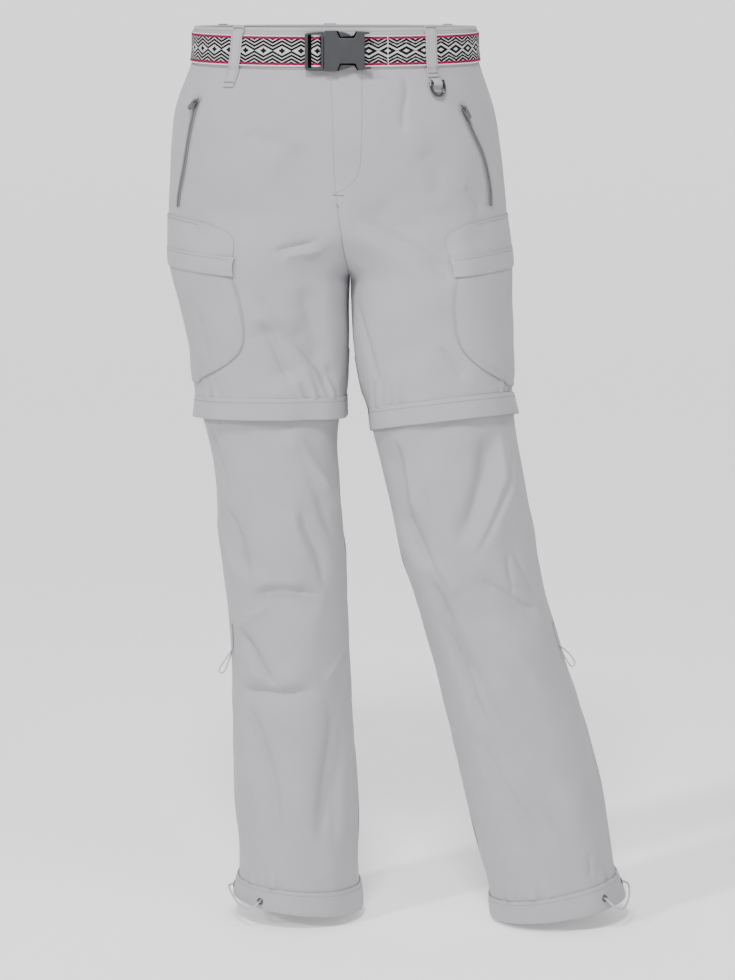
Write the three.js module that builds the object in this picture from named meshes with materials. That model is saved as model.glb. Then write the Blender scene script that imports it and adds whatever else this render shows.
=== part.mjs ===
// Convertible zip-off trousers with their webbing belt, in millimetres.
// +X is to the viewer's right, the wearer's left. +Y is to the back and +Z is up.
// The origin is the middle of the waist opening, halfway up the waistband.
// The cloth keeps the hollow form it has when worn, with the left leg stepped out to the side.
import * as THREE from 'three';
import { mergeVertices } from 'three/addons/utils/BufferGeometryUtils.js';

// Cloth
const CLOTH = 1.4;
const DOUBLE_CLOTH = 2.2;
const TRIM = 1.1;
const SEAM_GAP = 0.3;
const LAYER_GAP = 0.6;
const POCKET_GAP = 1.4;
const SQUARENESS = 2.2;
const TAUT = 0.26;
const FOLDS_MEET_INSEAM = -345;
const SEAM_FADE = 18;

// Heights of the main seams
const WAIST_TOP = 24;
const WAIST_SEAM = -17;
const RISE_TOP = -177;
const CROTCH = -262;
const THIGH_END = { right: -402, left: -408 };
const ZIP_RING_HEIGHT = 12;
const BAND_TOP = { right: -396.5, left: -402 };
const BAND_HEIGHT = 25;
const HEM_HEIGHT = 28;

// Belt and buckle
const BELT_WIDTH = 34;
const BELT_THICK = 1.6;
const BELT_HEIGHT = 1.5;
const BELT_NOD = 0.043;
const BELT_GAP = 0.8;
const BUCKLE_X = 5.5;
const BUCKLE_LIFT = 3.2;
const BUCKLE_THICK = 8;

// Ring, pulls, eyelets and cords
const RING_WIRE = 3.2;
const RING_WIDTH = 20;
const RING_DROP = 15.4;
const RING_TURN = 0.22;
const PULL_WIDTH = 6;
const PULL_LENGTH = 13;
const EYELET_OUTER = 4.2;
const EYELET_HOLE = 2.1;
const EYELET_HEIGHT = 1.2;
const HEM_CORD = 2.4;
const ROLL_CORD = 1.8;

// Turns a header and short rows into records with named fields
function table(columns, rows) {
  return rows.map((row) => Object.fromEntries(columns.split(' ').map((name, i) => [name, row[i]])));
}

// Sections of each leg, from the waist to the hem: outermost and innermost x, foremost and rearmost y,
// then how far the section rises for each millimetre outwards (lean) and backwards (nod)
const RIGHT_SECTIONS = table('z outer inner front back lean nod', [
  [24, -159, -2, -101, 104, 0, 0.01],
  [-17, -162, -2, -105, 110, 0, 0.055],
  [-38, -170, -2, -107, 115, 0, 0.05],
  [-60, -178, -1, -108, 120, 0, 0.03],
  [-105, -185, 0, -108, 127, 0, 0.01],
  [-150, -189, 2, -106, 130, 0, 0],
  [-177, -190, 5, -104, 130, 0, 0],
  [-219, -189, 11, -101, 124, 0, 0],
  [-262, -184, 18, -98, 113, 0, -0.01],
  [-288, -177, 17, -96, 105, 0, -0.01],
  [-334, -167, 17, -93, 92, 0, -0.03],
  [-381, -163, 15, -90, 83, 0, -0.06],
  [-403, -160, 13, -88, 79, 0, -0.07],
  [-418, -154, 7, -84, 76, 0, -0.06],
  [-451, -146, 3, -79, 72, 0, -0.04],
  [-498, -138, 6, -77, 70, 0, -0.02],
  [-545, -136, 9, -77, 69, 0, 0],
  [-593, -132, 14, -74, 69, 0, 0],
  [-640, -127, 15, -69, 72, 0.01, 0],
  [-688, -122, 16, -65, 76, 0.02, 0],
  [-785, -121, 21, -62, 80, 0.03, 0],
  [-882, -119, 27, -58, 79, 0.05, 0],
  [-976, -115, 28, -57, 77, 0.07, 0],
  [-1005, -119, 30, -60, 79, 0.12, 0],
]);
const LEFT_SECTIONS = table('z outer inner front back lean nod', [
  [24, 162, -2, -101, 104, 0, 0.01],
  [-17, 165, -2, -105, 110, 0, 0.055],
  [-38, 172, -2, -107, 115, 0, 0.05],
  [-60, 179, -1, -108, 120, 0, 0.03],
  [-105, 188, 0, -108, 127, 0, 0.01],
  [-150, 195, 2, -106, 130, 0, 0],
  [-177, 197, 5, -105, 130, 0, 0],
  [-219, 200, 11, -103, 122, 0, 0],
  [-262, 202, 18, -102, 110, 0, -0.01],
  [-288, 202, 19, -103, 100, 0.02, -0.05],
  [-334, 204, 22, -105, 84, 0.06, -0.1],
  [-381, 205, 31, -108, 70, 0.09, -0.14],
  [-408, 205, 40, -108, 64, 0.12, -0.16],
  [-425, 206, 44, -105, 60, 0.14, -0.15],
  [-458, 211, 53, -102, 54, 0.17, -0.1],
  [-490, 216, 61, -102, 50, 0.19, -0.05],
  [-530, 223, 69, -102, 46, 0.2, 0],
  [-570, 231, 78, -98, 48, 0.21, 0],
  [-610, 238, 91, -92, 50, 0.22, 0],
  [-650, 247, 103, -86, 54, 0.23, 0],
  [-690, 258, 115, -82, 58, 0.24, 0],
  [-730, 270, 125, -79, 61, 0.24, 0],
  [-770, 284, 134, -76, 63, 0.24, 0],
  [-850, 307, 153, -72, 64, 0.24, 0],
  [-930, 324, 172, -69, 64, 0.23, 0],
  [-980, 332, 184, -68, 63, 0.2, 0],
  [-1008, 342, 187, -71, 66, 0.16, 0],
]);

// The largest folds: how wide and how high each is, a trough being negative, and the line it follows
// as pairs of angle round the leg (0 at the side seam, front positive, 180 at the inseam) and height
const RIGHT_FOLDS = table('width height line', [
  [14, -3, [[24, -524], [50, -560], [57, -604]]],
  [16, 4, [[97, -428], [119, -472], [146, -512]]],
  [15, -4, [[35, -666], [52, -695], [76, -727]]],
  [20, -7, [[30, -742], [76, -739], [118, -733]]],
  [22, 5, [[32, -712], [76, -706], [112, -704]]],
  [15, -4, [[40, -756], [56, -786], [68, -820], [64, -885]]],
  [16, -4, [[118, -741], [126, -779], [114, -835], [112, -930]]],
  [18, -4, [[88, -300], [96, -340], [106, -385]]],
  [18, -4, [[104, -300], [122, -342], [150, -388]]],
  [18, -5, [[-30, -560], [-70, -590], [-120, -600]]],
  [20, 5, [[-35, -640], [-80, -655], [-130, -648]]],
  [18, -4, [[-60, -740], [-100, -790], [-110, -880]]],
  [22, -5, [[-128, -306], [-98, -320], [-62, -312]]],
]);
const LEFT_FOLDS = table('width height line', [
  [17, -6, [[134, -436], [144, -462], [145, -505], [122, -568]]],
  [17, -5, [[38, -436], [60, -476], [79, -529], [96, -562]]],
  [15, 5, [[24, -440], [44, -508], [62, -536], [84, -575]]],
  [15, -4, [[92, -590], [78, -616], [60, -643], [32, -662]]],
  [15, -4, [[143, -638], [120, -718], [102, -752]]],
  [18, -5, [[123, -738], [124, -783], [113, -832], [97, -878], [82, -940]]],
  [20, -3, [[84, -172], [72, -205], [64, -235]]],
  [18, -4, [[-40, -560], [-80, -585], [-130, -590]]],
  [18, 4, [[-30, -640], [-70, -662], [-120, -668]]],
  [18, -4, [[-70, -750], [-100, -820], [-100, -910]]],
  [22, -5, [[-126, -306], [-96, -318], [-60, -310]]],
]);
const LEGS = {
  right: { side: -1, sections: RIGHT_SECTIONS, folds: RIGHT_FOLDS, bandSlide: -0.02, hem: -1005 },
  left: { side: 1, sections: LEFT_SECTIONS, folds: LEFT_FOLDS, bandSlide: 0.15, hem: -1008 },
};

// Cargo pocket rows: height, how far round from the side seam each edge reaches, and how far the row
// droops from the side seam to its edges
const POCKET_ROWS = table('z reach droop', [
  [-188, 44, 7],
  [-196, 55, 4],
  [-208, 64, 2],
  [-224, 69.5, 1],
  [-250, 74, 0],
  [-266, 76.5, 0],
  [-284, 77.5, 0],
  [-304, 77.5, 0],
  [-324, 76.5, 0],
  [-340, 73, 0],
  [-352, 65.5, 0],
  [-361, 57, 0],
  [-369, 46, 0],
  [-376, 33, 0],
  [-381, 21, 0],
]);
// How much lower the foot of each cargo pocket hangs than its rows say
const POCKET_FOOT = { right: 0, left: 13 };
// Cargo flap rows, as the pocket's, with how far each lifts off the pocket
const FLAP_ROWS = table('z reach droop lift', [
  [-225, 72, 6, 0],
  [-235, 73.5, 6, 0.3],
  [-246, 75.5, 6, 0.8],
]);

// Belt loops: leg, angle at the top and at the bottom, height of the bottom end
const BELT_LOOPS = table('name leg top bottom end', [
  ['loop_front_right', 'right', 51.5, 49, -42],
  ['loop_front_left', 'left', 50.5, 50.5, -31],
  ['loop_side_right', 'right', -38, -38, -29],
  ['loop_side_left', 'left', -38, -38, -29],
  ['loop_back', 'right', -89, -89, -27],
]);

// Slant pocket zips, as pairs of angle and height from the top end down, and the turn of the pull
const POCKET_ZIPS = {
  right: { line: [[33, -58], [30, -100], [27, -140], [22.5, -178]], turn: -0.5 },
  left: { line: [[39, -66], [35.5, -90], [30, -122], [28, -150], [28, -176]], turn: 0.05 },
};
const EYELETS = {
  right: [[57, -995], [3.5, -993]],
  left: [[48, -995], [5.5, -992]],
};
const ROLL_TABS = {
  right: { from: [20, -665], to: [15, -697], lift: 0.45 },
  left: { from: [11, -677], to: [13, -703], lift: -0.2 },
};

// Cord routes, chosen by hand; a cord's ends lie against what it comes out of
const HEM_CORD_ROUTES = {
  right: [
    [-88.3, -52.1, -990.7], [-90.2, -55.3, -991.1], [-93.4, -58.0, -993.4], [-97.6, -58.2, -996.8],
    [-102.8, -54.6, -999.0], [-108.4, -47.4, -998.8], [-114.0, -37.6, -997.2], [-119.0, -26.0, -995.0],
    [-122.8, -14.6, -992.2], [-126.0, -4.4, -989.6], [-127.0, 1.4, -987.4], [-125.0, 4.0, -986.2],
    [-121.6, 4.1, -985.8],
  ],
  left: [
    [316.4, -56.6, -985.6], [318.6, -59.6, -986.2], [322.4, -62.6, -989.2], [327.6, -62.6, -993.8],
    [333.2, -58.8, -997.8], [338.4, -51.2, -999.2], [342.8, -41.4, -997.4], [346.2, -30.8, -992.8],
    [348.0, -20.6, -986.8], [347.0, -13.4, -981.0], [343.6, -11.2, -978.6], [340.2, -10.8, -978.2],
  ],
};
const ROLL_CORD_ROUTES = {
  right: [
    [-120.9, -16.6, -696.2], [-122.8, -17.6, -699.6], [-125.8, -18.9, -703.8], [-129.6, -20.4, -709.4],
    [-133.2, -21.6, -714.8], [-135.6, -22.2, -719.8], [-133.0, -22.2, -723.2], [-129.4, -21.4, -720.8],
    [-126.4, -19.8, -715.0], [-123.6, -17.4, -707.8], [-121.5, -14.8, -701.0], [-120.7, -13.4, -696.2],
  ],
  left: [
    [261.0, -30.8, -686.7], [263.5, -31.4, -689.4], [268.4, -32.3, -693.2], [273.6, -33.0, -698.2],
    [277.8, -33.2, -704.4], [279.4, -33.2, -709.4], [276.6, -33.0, -712.4], [272.8, -32.4, -709.6],
    [269.2, -31.6, -704.0], [266.0, -30.4, -698.0], [263.2, -29.0, -691.8], [261.2, -27.8, -686.7],
  ],
};

// Materials
const STONE_CLOTH = { color: 0xb9b9bb, roughness: 0.85, metalness: 0 };
const WEBBING = { color: 0x8d3350, roughness: 0.8, metalness: 0 };
const BUCKLE_PLASTIC = { color: 0x55565a, roughness: 0.55, metalness: 0 };
const BLACK_METAL = { color: 0x141415, roughness: 0.3, metalness: 0.6 };
const ZIP_TAPE = { color: 0x6f7073, roughness: 0.7, metalness: 0 };
const EYELET_METAL = { color: 0x4a4a4d, roughness: 0.35, metalness: 0.9 };
const ELASTIC = { color: 0xb2b2b5, roughness: 0.7, metalness: 0 };

const trousers = new THREE.Group();

function addPiece(name, geometry, finish, parent = trousers) {
  const piece = new THREE.Mesh(geometry, new THREE.MeshStandardMaterial(finish));
  piece.name = name;
  parent.add(piece);
  return piece;
}

const clamp01 = (value) => Math.min(Math.max(value, 0), 1);
const smooth = (value) => clamp01(value) ** 2 * (3 - 2 * clamp01(value));
const mix = (from, to, t) => from + (to - from) * t;

// One column of a section table at height z, on a smooth curve through its rows
function tableValue(rows, column, z) {
  const last = rows.length - 1;
  const height = Math.min(Math.max(z, rows[last].z), rows[0].z);
  let i = rows.findIndex((row, k) => k < last && height <= row.z && height >= rows[k + 1].z);
  if (i < 0) i = 0;
  const rate = (k) => (rows[k + 1][column] - rows[k][column]) / (rows[k + 1].z - rows[k].z);
  const span = (k) => rows[k + 1].z - rows[k].z;
  const slope = (k) => {
    if (k === 0) return rate(0);
    if (k === last) return rate(last - 1);
    return (rate(k - 1) * span(k) + rate(k) * span(k - 1)) / (span(k - 1) + span(k));
  };
  const step = span(i);
  const t = (height - rows[i].z) / step;
  const ease = t * t * (3 - 2 * t);
  const bend = (t ** 3 - 2 * t * t + t) * slope(i) + (t ** 3 - t * t) * slope(i + 1);
  return mix(rows[i][column], rows[i + 1][column], ease) + bend * step;
}

// Above the crotch the two legs share one opening, so each section stops where it meets the other
function sectionAt(leg, z) {
  const { side, sections } = LEGS[leg];
  const value = (column) => tableValue(sections, column, z);
  const inner = value('inner') + (side * SEAM_GAP) / 2;
  const split = smooth((RISE_TOP - z) / (RISE_TOP - CROTCH));
  const half = Math.abs(value('outer') - inner) / (1 + split);
  const seam = (value('front') + value('back')) / 2;
  return {
    side,
    split,
    half,
    seam,
    middle: inner + side * split * half,
    toFront: seam - value('front'),
    toBack: value('back') - seam,
    lean: value('lean'),
    nod: value('nod'),
  };
}

// The angle at which a section stops: the centre seam above the crotch, the inseam below it
function lastAngle(leg, z) {
  const { split, toFront, toBack } = sectionAt(leg, z);
  const seamCut = Math.asin((SEAM_GAP / (toFront + toBack)) ** (SQUARENESS / 2));
  const meeting = Math.acos(-(split ** (SQUARENESS / 2)));
  return THREE.MathUtils.radToDeg(Math.min(meeting, Math.PI - seamCut));
}

// The angle that puts the edge of a panel half a seam gap from the side seam
function firstAngle(leg, z) {
  const { toFront, toBack } = sectionAt(leg, z);
  return THREE.MathUtils.radToDeg(Math.asin((SEAM_GAP / (toFront + toBack)) ** (SQUARENESS / 2)));
}

// Height of the folds at an angle and height on a leg; they die out towards the seams where the legs meet
function foldHeight(leg, angle, z) {
  const { half, toFront, toBack, split } = sectionAt(leg, z);
  const mmPerDegree = ((half + (toFront + toBack) / 2) / 2) * (Math.PI / 180);
  let total = 0;
  for (const { width, height, line } of LEGS[leg].folds) {
    const spans = line.slice(1).map((end, k) => {
      const start = line[k];
      const run = [(end[0] - start[0]) * mmPerDegree, end[1] - start[1]];
      const from = [(angle - start[0]) * mmPerDegree, z - start[1]];
      const length = Math.hypot(...run);
      const t = clamp01((from[0] * run[0] + from[1] * run[1]) / length ** 2);
      return { length, t, away: Math.hypot(from[0] - run[0] * t, from[1] - run[1] * t) };
    });
    const whole = spans.reduce((sum, span) => sum + span.length, 0);
    let before = 0;
    let nearest = { away: Infinity, along: 0 };
    for (const { length, t, away } of spans) {
      if (away < nearest.away) nearest = { away, along: (before + length * t) / whole };
      before += length;
    }
    const taper = smooth(nearest.along * 4) * smooth((1 - nearest.along) * 4);
    total += height * taper * Math.exp(-((nearest.away / width) ** 2));
  }
  const toSeam = split < 1 ? lastAngle(leg, z) - Math.abs(angle) : 180 - Math.abs(angle);
  return z > FOLDS_MEET_INSEAM ? total * smooth(toSeam / SEAM_FADE) : total;
}

// A point of the cloth's outer face, moved outwards by lift, with the outward direction there
function clothPoint(leg, angle, z, lift = 0, level = z) {
  const { side, half, seam, middle, toFront, toBack, lean, nod } = sectionAt(leg, level);
  const turn = THREE.MathUtils.degToRad(angle);
  const across = Math.cos(turn);
  const forward = Math.abs(Math.sin(turn));
  const reach = angle >= 0 ? -toFront : toBack;
  const power = 2 / SQUARENESS;
  // The thigh lies flatter in front towards the inseam, where it is pulled taut
  const pulled = smooth((angle - 95) / 45) * smooth((180 - angle) / 12)
    * smooth((RISE_TOP - level) / 70) * smooth((level + 620) / 150);
  const x = side * half * Math.sign(across) * Math.abs(across) ** power;
  const y = reach * forward ** (power - TAUT * pulled);
  const outward = new THREE.Vector3(
    (side * Math.sign(across) * Math.abs(across) ** (2 - power)) / half,
    forward ** (2 - power) / reach,
    0,
  ).normalize();
  const point = new THREE.Vector3(middle + x, seam + y, z + side * lean * x + nod * y);
  point.addScaledVector(outward, lift + foldHeight(leg, angle, level));
  return { point, outward };
}

// A closed solid between an outer and an inner grid of points; a ring's last column meets its first
function slabGeometry(columns, rows, isRing, pointAt) {
  const across = isRing ? columns : columns + 1;
  const positions = [];
  for (const isInner of [false, true]) {
    for (let j = 0; j <= rows; j += 1) {
      for (let i = 0; i < across; i += 1) positions.push(...pointAt(i, j, isInner).toArray());
    }
  }
  const layer = across * (rows + 1);
  const at = (i, j, inner) => (inner ? layer : 0) + j * across + (i % across);
  const faces = [];
  const quad = (a, b, c, d) => faces.push(a, b, c, a, c, d);
  for (let j = 0; j < rows; j += 1) {
    for (let i = 0; i < columns; i += 1) {
      quad(at(i, j, 0), at(i + 1, j, 0), at(i + 1, j + 1, 0), at(i, j + 1, 0));
      quad(at(i, j, 1), at(i, j + 1, 1), at(i + 1, j + 1, 1), at(i + 1, j, 1));
    }
    if (!isRing) {
      quad(at(0, j, 0), at(0, j + 1, 0), at(0, j + 1, 1), at(0, j, 1));
      quad(at(columns, j, 0), at(columns, j, 1), at(columns, j + 1, 1), at(columns, j + 1, 0));
    }
  }
  for (let i = 0; i < columns; i += 1) {
    quad(at(i, 0, 0), at(i, 0, 1), at(i + 1, 0, 1), at(i + 1, 0, 0));
    quad(at(i, rows, 0), at(i + 1, rows, 0), at(i + 1, rows, 1), at(i, rows, 1));
  }
  return closedGeometry(positions, faces);
}

// An indexed geometry whose faces point out, whichever way round its grid ran
function closedGeometry(positions, faces) {
  let volume = 0;
  const corner = (k) => new THREE.Vector3().fromArray(positions, faces[k] * 3);
  for (let k = 0; k < faces.length; k += 3) {
    volume += corner(k).dot(corner(k + 1).cross(corner(k + 2)));
  }
  const index = volume > 0 ? faces : faces.slice().reverse();
  const geometry = new THREE.BufferGeometry();
  geometry.setAttribute('position', new THREE.Float32BufferAttribute(positions, 3));
  geometry.setIndex(index);
  return geometry;
}

// Even heights from one level to another
function evenRows(from, to, count) {
  return Array.from({ length: count + 1 }, (_, k) => mix(from, to, k / count));
}

// A garment panel from the side seam to the centre seam or inseam, front or back
function panelGeometry(leg, isFront, heights, columns) {
  return slabGeometry(columns, heights.length - 1, false, (i, j, isInner) => {
    const z = heights[j];
    const angle = mix(firstAngle(leg, z), lastAngle(leg, z), i / columns);
    return clothPoint(leg, isFront ? angle : -angle, z, isInner ? -CLOTH : 0).point;
  });
}

// A ring of cloth round one leg; its row gives height, lift and the level whose section it keeps
function legRingGeometry(leg, columns, rows, thickness, rowAt) {
  return slabGeometry(columns, rows, true, (i, j, isInner) => {
    const { z, lift, level = z, slide = 0 } = rowAt(j / rows);
    const { point } = clothPoint(leg, (360 * i) / columns - 180, z, lift + (isInner ? -thickness : 0), level);
    point.x += slide;
    return point;
  });
}

// Round the waist: 0 at the centre front, 90 at the wearer's right, 180 at the centre back
function waistPoint(turn, z, lift) {
  const isRight = turn <= 180;
  return clothPoint(isRight ? 'right' : 'left', isRight ? 90 - turn : turn - 270, z, lift);
}

function waistbandGeometry() {
  const heights = [WAIST_TOP, 17, -10, WAIST_SEAM];
  const columns = 48;
  return slabGeometry(columns, heights.length - 1, false, (i, j, isInner) => (
    waistPoint((360 * i) / columns, heights[j], isInner ? -DOUBLE_CLOTH : 0).point
  ));
}

// The section level whose cloth passes a true height at an angle
function levelAt(leg, angle, height) {
  let level = height;
  for (let k = 0; k < 4; k += 1) level -= clothPoint(leg, angle, level).point.z - height;
  return level;
}

// The belt lies in its own plane, a little lower at the front than at the back
function beltEdge(y, across) {
  return BELT_HEIGHT + across + BELT_NOD * y;
}

function beltPoint(turn, across, lift) {
  const isRight = turn <= 180;
  const leg = isRight ? 'right' : 'left';
  const angle = isRight ? 90 - turn : turn - 270;
  const { y } = clothPoint(leg, angle, BELT_HEIGHT).point;
  return clothPoint(leg, angle, levelAt(leg, angle, beltEdge(y, across)), lift).point;
}

function beltGeometry() {
  const from = 8;
  const to = 347;
  const columns = 46;
  return slabGeometry(columns, 1, false, (i, j, isInner) => {
    const turn = mix(from, to, i / columns);
    const across = BELT_WIDTH * (0.5 - j);
    return beltPoint(turn, across, BELT_GAP + (isInner ? 0 : BELT_THICK));
  });
}

// A strap on a leg, drawn as heights and lifts along its middle line
function strapGeometry(leg, width, thickness, stations) {
  return slabGeometry(1, stations.length - 1, false, (i, j, isInner) => {
    const { angle, z, lift } = stations[j];
    const { point, outward } = clothPoint(leg, angle, z, lift + (isInner ? 0 : thickness));
    const sideways = new THREE.Vector3(-outward.y, outward.x, 0);
    return point.addScaledVector(sideways, width * (i - 0.5));
  });
}

function beltLoopGeometry({ leg, top, bottom, end }) {
  const arch = BELT_GAP + BELT_THICK + 0.7;
  const { y } = clothPoint(leg, top, BELT_HEIGHT).point;
  const beltTop = beltEdge(y, BELT_WIDTH / 2);
  const beltBottom = beltEdge(y, -BELT_WIDTH / 2);
  const path = table('height lift', [
    [WAIST_TOP + 2, LAYER_GAP],
    [beltTop + 3.5, LAYER_GAP + 0.4],
    [beltTop + 1.2, arch],
    [beltBottom - 1.2, arch],
    [beltBottom - 5, LAYER_GAP + 0.2],
    [end, LAYER_GAP + 0.2],
  ]);
  return strapGeometry(leg, 11, TRIM, path.map(({ height, lift }) => {
    const angle = mix(top, bottom, clamp01((WAIST_TOP - height) / (WAIST_TOP - end)));
    return { angle, z: levelAt(leg, angle, height), lift };
  }));
}

// A patch that wraps the side seam, from rows of height, reach and droop
function sidePatchGeometry(leg, rows, columns, lift) {
  return slabGeometry(columns, rows.length - 1, false, (i, j, isInner) => {
    const row = rows[j];
    const share = (2 * i) / columns - 1;
    const z = row.z - row.droop * share * share;
    return clothPoint(leg, row.reach * share, z, lift + (row.lift ?? 0) + (isInner ? 0 : TRIM)).point;
  });
}

// The facing behind the fly, on the inside of the left front, with its curved lower end
function flyGeometry() {
  const rows = table('z width', [
    [WAIST_SEAM - 1, 34],
    [-60, 33],
    [-100, 32],
    [-128, 29],
    [-143, 22],
    [-153, 10],
  ]);
  const columns = 3;
  return slabGeometry(columns, rows.length - 1, false, (i, j, isInner) => {
    const { z, width } = rows[j];
    const edge = lastAngle('left', z);
    const degrees = THREE.MathUtils.radToDeg(width / sectionAt('left', z).half);
    const lift = -CLOTH - 1 - (isInner ? TRIM : 0);
    return clothPoint('left', edge - degrees * (i / columns), z, lift).point;
  });
}

// A place on the cloth with its own axes: x sideways, y up along the cloth, z outwards
function placeOnCloth(leg, angle, z, lift) {
  const { point, outward } = clothPoint(leg, angle, z, lift);
  const reach = 6;
  const climb = clothPoint(leg, angle, z + reach).point.sub(clothPoint(leg, angle, z - reach).point);
  const round = clothPoint(leg, angle + 2, z).point.sub(clothPoint(leg, angle - 2, z).point);
  const facing = new THREE.Vector3().crossVectors(round, climb).normalize();
  if (facing.dot(outward) < 0) facing.negate();
  const up = new THREE.Vector3(0, 0, 1).addScaledVector(facing, -facing.z).normalize();
  const sideways = new THREE.Vector3().crossVectors(up, facing);
  const place = new THREE.Group();
  place.quaternion.setFromRotationMatrix(new THREE.Matrix4().makeBasis(sideways, up, facing));
  place.position.copy(point);
  trousers.add(place);
  return place;
}

// Straight and slanting outlines are short lists of corners
function outline(points) {
  return new THREE.Shape(points.map(([x, y]) => new THREE.Vector2(x, y)));
}

function plateGeometry(shape, thickness, bevel = 0.6) {
  const geometry = new THREE.ExtrudeGeometry(shape, {
    depth: thickness - 2 * bevel,
    bevelEnabled: bevel > 0,
    bevelThickness: bevel,
    bevelSize: bevel,
    bevelOffset: -bevel,
    bevelSegments: 1,
    curveSegments: 6,
  });
  geometry.translate(0, 0, bevel);
  return weld(geometry);
}

// Keeps position alone and joins the corners that shapes leave apart
function weld(geometry) {
  geometry.deleteAttribute('normal');
  geometry.deleteAttribute('uv');
  return mergeVertices(geometry, 1e-3);
}

// The socket half of the buckle, with a notch above and below for the two prongs
function buckleSocketGeometry() {
  return plateGeometry(outline([
    [-15.2, -21.6], [-14.4, -22.4], [-1, -22.4], [2.4, -13.6], [19.4, -13.6], [22.6, -21.4],
    [37.4, -19.4], [36.6, -17.2], [29.4, -17.4], [29.4, 17.8], [35.4, 18.6], [35, 20.6],
    [21.4, 21.4], [18.2, 14], [1.8, 14], [-2, 22.2], [-14.4, 22.2], [-15.2, 21.4],
  ]), BUCKLE_THICK, 0.8);
}

// The plug half outside the socket: a frame with one wide slot for the webbing
function buckleFrameGeometry() {
  const frame = outline([
    [-36.6, -19.2], [-34.6, -21.4], [-15.6, -22], [-15.6, 21.2], [-34.8, 19.6], [-36.6, 17.8],
  ]);
  frame.holes.push(outline([[-33, -18.6], [-33, 17.6], [-18.4, 17.6], [-18.4, -18.6]]));
  return plateGeometry(frame, BUCKLE_THICK - 2, 0.7);
}

// One of the two curved prongs that show in the notches, as an arc from the socket to its tip
function prongGeometry(sign) {
  const shape = new THREE.Shape();
  shape.moveTo(0.2, sign * 21.4);
  shape.quadraticCurveTo(9, sign * 21, 16.6, sign * 15.2);
  shape.lineTo(2.8, sign * 14.9);
  shape.closePath();
  return plateGeometry(shape, BUCKLE_THICK - 3, 0.5);
}

// The webbing where it turns over the bar inside the frame's slot
function webbingTurnGeometry() {
  const arch = new THREE.Shape();
  const outer = 5.4;
  const inner = outer - BELT_THICK;
  arch.moveTo(-outer, 0);
  arch.quadraticCurveTo(-outer, 4.4, 0, 4.8);
  arch.quadraticCurveTo(outer, 4.4, outer, 0);
  arch.lineTo(inner, 0);
  arch.quadraticCurveTo(inner, 2.9, 0, 3.2);
  arch.quadraticCurveTo(-inner, 2.9, -inner, 0);
  arch.closePath();
  const sweep = { depth: BELT_WIDTH, bevelEnabled: false, curveSegments: 4 };
  const geometry = new THREE.ExtrudeGeometry(arch, sweep);
  geometry.rotateX(Math.PI / 2);
  geometry.translate(0, BELT_WIDTH / 2, 0);
  return weld(geometry);
}

function addBuckle() {
  const front = beltPoint(0, 0, 0);
  const place = new THREE.Group();
  place.position.set(BUCKLE_X, front.y - BUCKLE_LIFT, front.z + 0.6);
  place.rotateX(Math.PI / 2);
  trousers.add(place);
  addPiece('buckle_socket', buckleSocketGeometry(), BUCKLE_PLASTIC, place);
  const frame = addPiece('buckle_frame', buckleFrameGeometry(), BUCKLE_PLASTIC, place);
  frame.position.z = 0.6;
  for (const [name, sign] of [['buckle_prong_top', 1], ['buckle_prong_bottom', -1]]) {
    const prong = addPiece(name, prongGeometry(sign), BUCKLE_PLASTIC, place);
    prong.position.z = 1.5;
  }
  const turn = addPiece('belt_turn', webbingTurnGeometry(), WEBBING, place);
  turn.position.set(-24.1, -0.4, 0.2);
}

// A strip of zip tape along a line of angles and heights, with its coil as a ridge down the middle
function zipStripGeometry(leg, line, steps) {
  const curve = new THREE.CatmullRomCurve3(line.map(([angle, z]) => new THREE.Vector3(angle, z, 0)));
  const profile = table('across rise', [
    [-3.2, 0.8], [-1.4, 0.9], [-1, 1.9], [1, 1.9], [1.4, 0.9], [3.2, 0.8],
  ]);
  return slabGeometry(profile.length - 1, steps, false, (i, j, isInner) => {
    const spot = curve.getPoint(j / steps);
    const { point, outward } = clothPoint(leg, spot.x, spot.y, LAYER_GAP + (isInner ? 0 : profile[i].rise));
    const sideways = new THREE.Vector3(-outward.y, outward.x, 0);
    return point.addScaledVector(sideways, profile[i].across);
  });
}

// The slider: a plate with an arch that the pull hangs on
function sliderGeometry() {
  const plate = outline([
    [-5, 0], [5, 0], [5, 1], [2.9, 1], [2.6, 4.2], [1.6, 5], [-1.6, 5], [-2.6, 4.2], [-2.9, 1], [-5, 1],
  ]);
  plate.holes.push(outline([[-1.5, 1.3], [-1.5, 3.9], [1.5, 3.9], [1.5, 1.3]]));
  const width = 2.4;
  const geometry = new THREE.ExtrudeGeometry(plate, { depth: width, bevelEnabled: false });
  geometry.translate(0, 0, -width / 2);
  geometry.rotateX(Math.PI / 2);
  geometry.rotateZ(Math.PI / 2);
  return weld(geometry);
}

// The pull: a flat grip below a square eye, hung on the line where its top bar turns
function pullGeometry() {
  const half = PULL_WIDTH / 2;
  const bar = 0.6;
  const grip = outline([
    [-half, bar], [-half, -PULL_LENGTH + 1.4], [-half + 1, -PULL_LENGTH],
    [half - 1, -PULL_LENGTH], [half, -PULL_LENGTH + 1.4], [half, bar],
  ]);
  grip.holes.push(outline([[-1.8, -bar], [1.8, -bar], [1.8, -4.4], [-1.8, -4.4]]));
  const geometry = new THREE.ExtrudeGeometry(grip, { depth: 2 * bar, bevelEnabled: false });
  geometry.translate(0, 0, -bar);
  return weld(geometry);
}

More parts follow.
